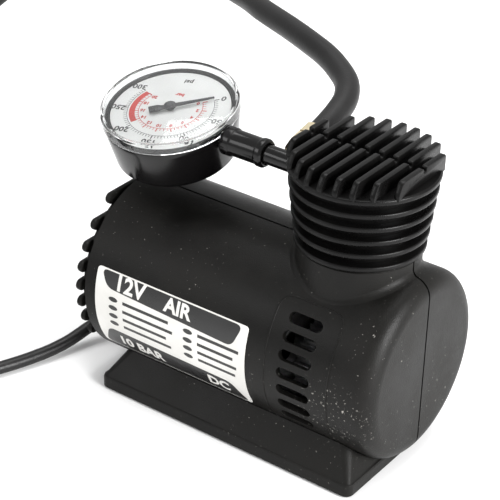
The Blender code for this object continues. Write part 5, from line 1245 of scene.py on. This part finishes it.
@dataclass
class AirLine:
    """The pipe from the head to the gauge, the hose's fitting and nut, the hose and its chuck."""

    pipe_z: float = 0.1014
    branch_x: float = 0.0015
    branch_way: tuple[float, float, float] = (-0.08, 1.0, 0.12)
    hose: float = 0.0095
    chuck_radius: float = 0.0085
    chuck_length: float = 0.0340

    ROUTE = ((-0.0001, 0.0201, 0.1038), (-0.0010, 0.0280, 0.1050), (-0.0022, 0.0360, 0.1064),
             (-0.0045, 0.0445, 0.1078), (-0.0098, 0.0530, 0.1093), (-0.0185, 0.0600, 0.1105),
             (-0.0280, 0.0658, 0.1113), (-0.0394, 0.0713, 0.1116), (-0.0540, 0.0783, 0.1114),
             (-0.0735, 0.0875, 0.1106), (-0.0890, 0.0960, 0.1097), (-0.1120, 0.1050, 0.1085),
             (-0.1370, 0.1085, 0.1070), (-0.1610, 0.1065, 0.1045), (-0.1830, 0.0985, 0.1010),
             (-0.2030, 0.0850, 0.0930), (-0.2170, 0.0690, 0.0770), (-0.2225, 0.0550, 0.0560),
             (-0.2235, 0.0430, 0.0350), (-0.2230, 0.0320, 0.0190), (-0.2217, 0.0190, 0.0107),
             (-0.2210, 0.0060, 0.0090), (-0.2210, -0.0060, 0.0090))

    def along_pipe(self, made: bpy.types.Object) -> bpy.types.Object:
        """Lay a piece built about Z along the pipe."""
        return placed(made, Matrix.Translation((0, 0, self.pipe_z)) @ Z_ONTO_X)

    def build_hose(self) -> None:
        """The hose, its chuck and lock lever."""
        path = smooth_path(self.ROUTE, 0.0025)
        hose = dress(swept("hose_tube", path, circle(self.hose / 2, 28)), RUBBER, Body.BASE, "air_hose")
        chuck, lever = self.chuck(), self.lever()

    def chuck(self) -> bpy.types.Object:
        """The chuck's body: a tapered tail with grip rings, a lug for the lever and a round mouth."""
        end = Vector(self.ROUTE[-1])
        back, front = -0.0003, -0.0003 - self.chuck_length
        r = self.chuck_radius
        rings = []
        for k in range(4):
            at = back - 0.0095 - 0.0030 * k
            rings += [(r, at), (r - 0.0007, at - 0.0006), (r - 0.0007, at - 0.0014), (r, at - 0.0020)]
        body = turned("chuck", [(0, back), (self.hose / 2, back), (self.hose / 2 + 0.0006, back - 0.0020),
                                (r - 0.0004, back - 0.0062), (r, back - 0.0080), *rings, (r, front + 0.0015),
                                (r - 0.0015, front), (0.0043, front), (0.0043, front + 0.0110),
                                (0, front + 0.0110)], 64, 0.0003)
        placed(body, Matrix.Translation(end) @ Matrix.Rotation(-math.pi / 2, 4, "X"))
        pivot = Vector((0, front + 0.0110, r + 0.0035))
        outline = [(pivot.y - 0.0029, 0.6 * r), (pivot.y + 0.0029, 0.6 * r),
                   *arc((pivot.y, pivot.z), 0.0029, 0, 180, 14)]
        lug = prism("lug", outline, -0.0025, 0.0025, 0.0003)
        placed(lug, Matrix.Translation(end) @ X_ONTO_Y @ Matrix.Rotation(
            math.pi / 2, 4, "X"))
        hole = turned("hole", [(0, -0.01), (0.0019, -0.01), (0.0019, 0.01), (0, 0.01)], 32)
        placed(hole, Matrix.Translation(end + pivot) @ Z_ONTO_X)
        combine(combine(body, "UNION", lug), "DIFFERENCE", hole)
        body.name = "valve_chuck"
        return dress(crease(body), NICKEL, Body.BASE, "chuck_body")

    def lever(self) -> bpy.types.Object:
        """The lock lever: a bent plate with two cheeks on a pin."""
        end = Vector(self.ROUTE[-1])
        hub = end + Vector((0, -0.0003 - self.chuck_length + 0.0110, self.chuck_radius + 0.0035))
        pin = placed(turned("pin", [(0, -0.0050), (0.0016, -0.0050), (0.0016, 0.0050), (0, 0.0050)], 32,
                            0.0003),
                     Z_ONTO_X)
        arm = block("arm", (-0.0050, -0.0030, 0.0033), (0.0050, 0.0270, 0.0055), 0.0007)
        ribs = [block("rib", (-0.0036, 0.0150 + 0.0024 * k, 0.0053),
                      (0.0036, 0.0162 + 0.0024 * k, 0.0058), 0.0002)
                for k in range(4)]
        cheeks = [block("cheek", (x, -0.0030, -0.0022), (x + 0.0022, 0.0030, 0.0044), 0.0004)
                  for x in (-0.0050, 0.0028)]
        made = merged("lock_lever", [pin, arm, *ribs, *cheeks])
        return dress(placed(made, Matrix.Translation(hub)), STEEL, Body.LEVER, "chuck_lever")

    def build(self) -> None:
        """Build and dress the rigid pieces of the line."""
        pipe = turned("gauge_stem", [(0.0012, -0.0240), (0.0037, -0.0240), (0.0037, 0.0153), (0.0018, 0.0153),
                                     (0.0018, 0.0198), (0.0012, 0.0198)], 48, 0.0002, True)
        dress(self.along_pipe(pipe), GLOSS, Body.BASE, "gauge_pipe")
        collar = turned("stem_collar",
                        [(0.0040, -0.0258), (0.0054, -0.0258), (0.0054, -0.0222), (0.0050, -0.0218),
                                        (0.0050, -0.0108), (0.0054, -0.0104), (0.0054, -0.0085),
                                        (0.0046, -0.0075),
                                        (0.0040, -0.0075)], 64, 0.0003, True)
        dress(self.along_pipe(collar), GLOSS, Body.BASE, "gauge_collar")
        aim = facing((self.branch_x, 0, self.pipe_z), self.branch_way)
        fitting = turned("hose_elbow",
                         [(0.0012, 0.0053), (0.0032, 0.0053), (0.0032, 0.0062), (0.0018, 0.0062),
                                        (0.0018, 0.0192), (0.0012, 0.0192)], 40, 0.0001, True)
        dress(placed(fitting, aim), GLOSS, Body.BASE, "hose_fitting")
        corner = 0.0105 / math.sqrt(3)
        nut = prism("hex_nut", arc((0, 0), corner, 0, 300, 5), 0.0065, 0.0195, 0.0)
        cone = turned("cone", [(0, 0.0064), (corner - 0.0007, 0.0064), (corner + 0.0005, 0.0075),
                               (corner + 0.0005, 0.0185), (corner - 0.0007, 0.0196), (0, 0.0196)], 64)
        groove = turned("groove", [(corner - 0.0009, 0.0125), (0.02, 0.0125), (0.02, 0.0133),
                                   (corner - 0.0009, 0.0133)], 64, closed=True)
        bore = turned("bore", [(0, 0), (0.0021, 0), (0.0021, 0.03), (0, 0.03)], 32)
        combine(combine(nut, "INTERSECT", cone), "DIFFERENCE", groove, bore)
        dress(placed(crease(nut), aim), CREAM_BRASS, Body.BASE, "hose_nut")


# ---------------------------------------------------------------- lead and plug

@dataclass
class Lead:
    """The 12 V lead: its grommet, the run past the foot, the coil that is put away and its tie.

    The coil is wound clockwise seen from above. Its angles are in degrees from +X, and each change gives
    the angle at which it starts, then the steps that it moves inward and upward.
    """

    thickness: float = 0.0050
    coil_centre: Flat = (-0.1520, -0.1000)
    columns: tuple[float, ...] = (0.03765, 0.03255, 0.02745, 0.02235)
    layers: tuple[float, ...] = (0.0026, 0.0077, 0.0128, 0.0179)
    changes: tuple[tuple[float, int, int], ...] = (
        (300, 1, 0), (660, 1, 0), (1020, 1, 0), (1345, 0, 1), (1670, -1, 0), (2030, -1, 0), (2390, -1, 0),
        (2715, 0, 1), (3040, 1, 0), (3400, 1, 0), (3760, 1, 0), (4085, 0, 1), (4410, -1, 0), (4770, -1, 0),
        (5130, -1, 0))
    change_span: float = 32.0
    coil_first: float = 4.7
    coil_last: float = 5220.0
    coil_step: float = 12.0
    entry_angle: float = -7.3
    entry_span: float = 37.0
    entry_radius: float = 0.0434
    grommet_start: tuple[float, float, float] = (-0.0640, -0.0005, 0.0145)
    grommet_way: tuple[float, float, float] = (-0.90, -0.25, -0.30)

    START = ((-0.0731, -0.0030, 0.0115), (-0.0764, -0.0043, 0.0101), (-0.0792, -0.0092, 0.0082),
             (-0.0815, -0.0165, 0.0060), (-0.0830, -0.0235, 0.0042), (-0.0850, -0.0315, 0.0031),
             (-0.0880, -0.0410, 0.0026), (-0.0922, -0.0525, 0.0026), (-0.0975, -0.0640, 0.0026),
             (-0.1035, -0.0765, 0.0026), (-0.1075, -0.0870, 0.0026), (-0.1089, -0.0945, 0.0026))
    END = ((-0.1905, -0.0790, 0.0160), (-0.1913, -0.0705, 0.0146), (-0.1923, -0.0615, 0.0130),
           (-0.1931, -0.0530, 0.0119))

    def coil(self) -> list[Vector]:
        """The coil's points: four layers of four turns, wound in and out by turns.

        Returns:
            The points, from where the lead reaches the coil's rim to where it leaves for the plug.
        """
        path: list[Vector] = []
        waiting = list(self.changes)
        column, layer = 0, 0
        active: tuple[float, float, float] | None = None
        turned_by = self.coil_first
        while turned_by <= self.coil_last:
            if active is None and waiting and turned_by >= waiting[0][0]:
                at, inward, rise = waiting.pop(0)
                active = (at, self.columns[column], self.layers[layer])
                column, layer = column + inward, layer + rise
            radius, height = self.columns[column], self.layers[layer]
            if active:
                share = min(1.0, (turned_by - active[0]) / self.change_span)
                ease = smooth_step(share)
                radius = active[1] + (radius - active[1]) * ease
                height = active[2] + (height - active[2]) * ease
                active = None if share >= 1.0 else active
            share = min(1.0, max(0.0, (turned_by - self.entry_angle) / self.entry_span))
            radius += (self.entry_radius - self.columns[0]) * (1 - smooth_step(share))
            angle = math.radians(-turned_by)
            path.append(Vector((self.coil_centre[0] + radius * math.cos(angle),
                                self.coil_centre[1] + radius * math.sin(angle), height)))
            turned_by += self.coil_step
        return path

    def tie(self) -> bpy.types.Object:
        """The strap that holds the coil, with its small lock."""
        x, y = self.coil_centre[0] + 0.0300, self.coil_centre[1]
        low, high, near, far = 0.0020, 0.0188, -0.0107, 0.0107
        flat = eased([(near, low), (far, low), (far, high), (near, high)], 0.0035, True, 5)
        path = [Vector((x + a, y, b)) for a, b in flat]
        strap = swept("strap", path,
                      [(-0.0016, -0.0003), (0.0016, -0.0003), (0.0016, 0.0003), (-0.0016, 0.0003)],
                      loop=True)
        lock = block("lock", (x + 0.0098, y - 0.0024, 0.0080), (x + 0.0122, y + 0.0024, 0.0130), 0.0005)
        return dress(merged("cord_tie", [strap, lock]), CARBON, Body.BASE)

    def build(self) -> None:
        """Build and dress the lead, its grommet and its tie."""
        plug = Plug().build()
        path = smooth_path([*self.START, *self.coil(), *self.END], 0.0042)
        lead = dress(swept("lead_tube", path, circle(self.thickness / 2, 14)), RUBBER, Body.BASE,
                     "power_cord",
                     "cord_coil", "power_cord_end")
        self.tie()
        ribs = []
        for k in range(3):
            at = 0.0012 + 0.0017 * k
            ribs += [(0.0040, at), (0.0040, at + 0.0009), (0.0035, at + 0.0012), (0.0035, at + 0.0015)]
        grommet = turned("lead_grommet",
                         [(0, -0.0010), (0.0040, -0.0010), *ribs, (0.0033, 0.0092), (0, 0.0092)], 40,
                         0.0002)
        dress(placed(grommet, facing(self.grommet_start, self.grommet_way)), RUBBER, Body.BASE,
              "cord_grommet")


@dataclass
class Plug:
    """The lighter plug on the lead's end, lying along +Y."""

    tail: tuple[float, float, float] = (-0.1932, -0.0520, 0.0118)
    grip: float = 0.0115
    nose: float = 0.0102
    length: float = 0.0700

    def lay(self, made: bpy.types.Object) -> bpy.types.Object:
        """Take a piece built about Z to its place along +Y."""
        return placed(made, Matrix.Translation(self.tail) @ Matrix.Rotation(-math.pi / 2, 4, "X"))

    def build(self) -> list[bpy.types.Object]:
        """Build and dress the plug, and return its pieces."""
        ridges = []
        for k in range(6):
            at = 0.0170 + 0.0028 * k
            ridges += [(self.grip, at), (self.grip, at + 0.0012), (self.grip - 0.0007, at + 0.0016),
                       (self.grip - 0.0007, at + 0.0024)]
        mouth, waist = 0.0036, 0.0420
        body = turned("plug_moulding", [
            (0, 0), (0.0038, 0), (0.0042, 0.0050), (0.0055, 0.0100), (self.grip, 0.0160), *ridges,
            (self.grip, waist - 0.0050), (self.nose, waist), (self.nose, 0.0457),
            (self.nose - 0.0012, 0.0457),
            (self.nose - 0.0012, 0.0603), (self.nose, 0.0603), (self.nose, 0.0620), (0.0065, self.length),
            (mouth, self.length), (mouth, 0.0584), (0, 0.0584)], 64, 0.0003)
        dress(self.lay(body), SATIN, Body.BASE, "plug_body")
        band = turned("band", [(0.0093, 0.0460), (0.0100, 0.0460), (0.0100, 0.0600), (0.0093, 0.0600)], 64,
                      closed=True)
        leaves = []
        for side in (-1, 1):
            line = [(0.0096, 0.0475), (0.0110, 0.0500), (0.0118, 0.0530), (0.0110, 0.0560), (0.0096, 0.0585),
                    (0.0091, 0.0585), (0.0104, 0.0555), (0.0111, 0.0530), (0.0104, 0.0505), (0.0091, 0.0475)]
            leaf = prism("leaf", [(side * x, y) for x, y in line], -0.0020, 0.0020, 0.0)
            leaves.append(placed(leaf, Matrix.Rotation(math.pi / 2, 4, "X")))
        contact = dress(self.lay(merged("plug_side_contacts", [band, *leaves])), NICKEL, Body.BASE,
                        "plug_contact")
        tip = turned("plug_pin", [(0, 0.0620), (0.0032, 0.0620), (0.0032, 0.0745), (0.0026, 0.0760),
                                  (0.0012, 0.0769), (0, 0.0770)], 40, 0.0003)
        dress(self.lay(tip), NICKEL, Body.TIP, "plug_tip")
        return [body, contact, tip]


# ---------------------------------------------------------------- studio

@dataclass
class Studio:
    """The camera, the pale floor and the soft lights."""

    target: tuple[float, float, float] = (-0.01433, 0.0, 0.05949)
    azimuth: float = 35.57
    elevation: float = 30.26
    distance: float = 0.66347
    lens: float = 129.28
    roll: float = 1.64

    def camera(self) -> None:
        """Make the camera and the view transform."""
        a, e, r = (math.radians(v) for v in (self.azimuth, self.elevation, self.roll))
        back = Vector((math.sin(a) * math.cos(e), -math.cos(a) * math.cos(e), math.sin(e)))
        right = Vector((math.cos(a), math.sin(a), 0.0))
        up = back.cross(right)
        across = right * math.cos(r) + up * math.sin(r)
        upright = up * math.cos(r) - right * math.sin(r)
        data = bpy.data.cameras.new("camera")
        data.lens, data.sensor_width, data.clip_start = self.lens, 36.0, 0.01
        holder = bpy.data.objects.new("camera", data)
        turn = Matrix((across, upright, back)).transposed().to_4x4()
        holder.matrix_world = Matrix.Translation(Vector(self.target) + back * self.distance) @ turn
        bpy.context.scene.collection.objects.link(holder)
        bpy.context.scene.camera = holder
        bpy.context.scene.view_settings.view_transform = "Standard"

    def light(self, name: str, spot: Sequence[float], size: float, power: float) -> None:
        """Add a soft square light that faces the object."""
        data = bpy.data.lights.new(name, "AREA")
        data.shape, data.size, data.energy = "SQUARE", size, power
        holder = bpy.data.objects.new(name, data)
        way = Vector(spot) - Vector((0, 0, 0.05))
        holder.matrix_world = Matrix.Translation(spot) @ way.to_track_quat("Z", "Y").to_matrix().to_4x4()
        bpy.context.scene.collection.objects.link(holder)

    def build(self) -> None:
        """Lay the floor and hang the lights."""
        bm = bmesh.new()
        bmesh.ops.create_grid(bm, x_segments=8, y_segments=8, size=3.0)
        floor = finished(bm, "floor")
        floor.data.transform(Matrix.Translation((0, 0, -0.0004)))
        floor.data.materials.append(FLOOR.material())
        world = bpy.data.worlds.new("studio")
        world.use_nodes = True
        sky = world.node_tree.nodes["Background"]
        sky.inputs["Color"].default_value = (1.0, 1.0, 1.0, 1.0)
        sky.inputs["Strength"].default_value = 0.72
        bpy.context.scene.world = world
        self.light("key_right", (0.95, -0.12, 0.42), 0.50, 19.0)
        self.light("fill_top", (-0.10, 0.20, 1.10), 0.80, 9.0)
        self.light("front_left", (-0.60, -0.85, 0.60), 0.40, 2.0)


def dress_inner_pieces() -> None:
    """Give every node that stays in view its own procedural finish."""
    slots = {node: entry["slot"] for entry in frame["record"]["materials"] for node in entry.get("nodes", ())}
    for name, node in frame["nodes"].items():
        finish = BY_SLOT.get(slots.get(name, ""), STEEL)
        if node.data.materials:
            node.material_slots[0].material = finish.material()
        else:
            node.data.materials.append(finish.material())


def main() -> None:
    """Build the inflator's looks in order."""
    logging.basicConfig(level=logging.INFO, format="%(message)s")
    Studio().camera()
    line = AirLine()
    line.build_hose()
    Lead().build()
    dress_inner_pieces()
    Housing().build()
    Grille().build()
    Foot().build()
    Label().build()
    FinnedCover().build()
    Gauge().build()
    line.build()
    Studio().build()


if __name__ == "__main__":
    main()
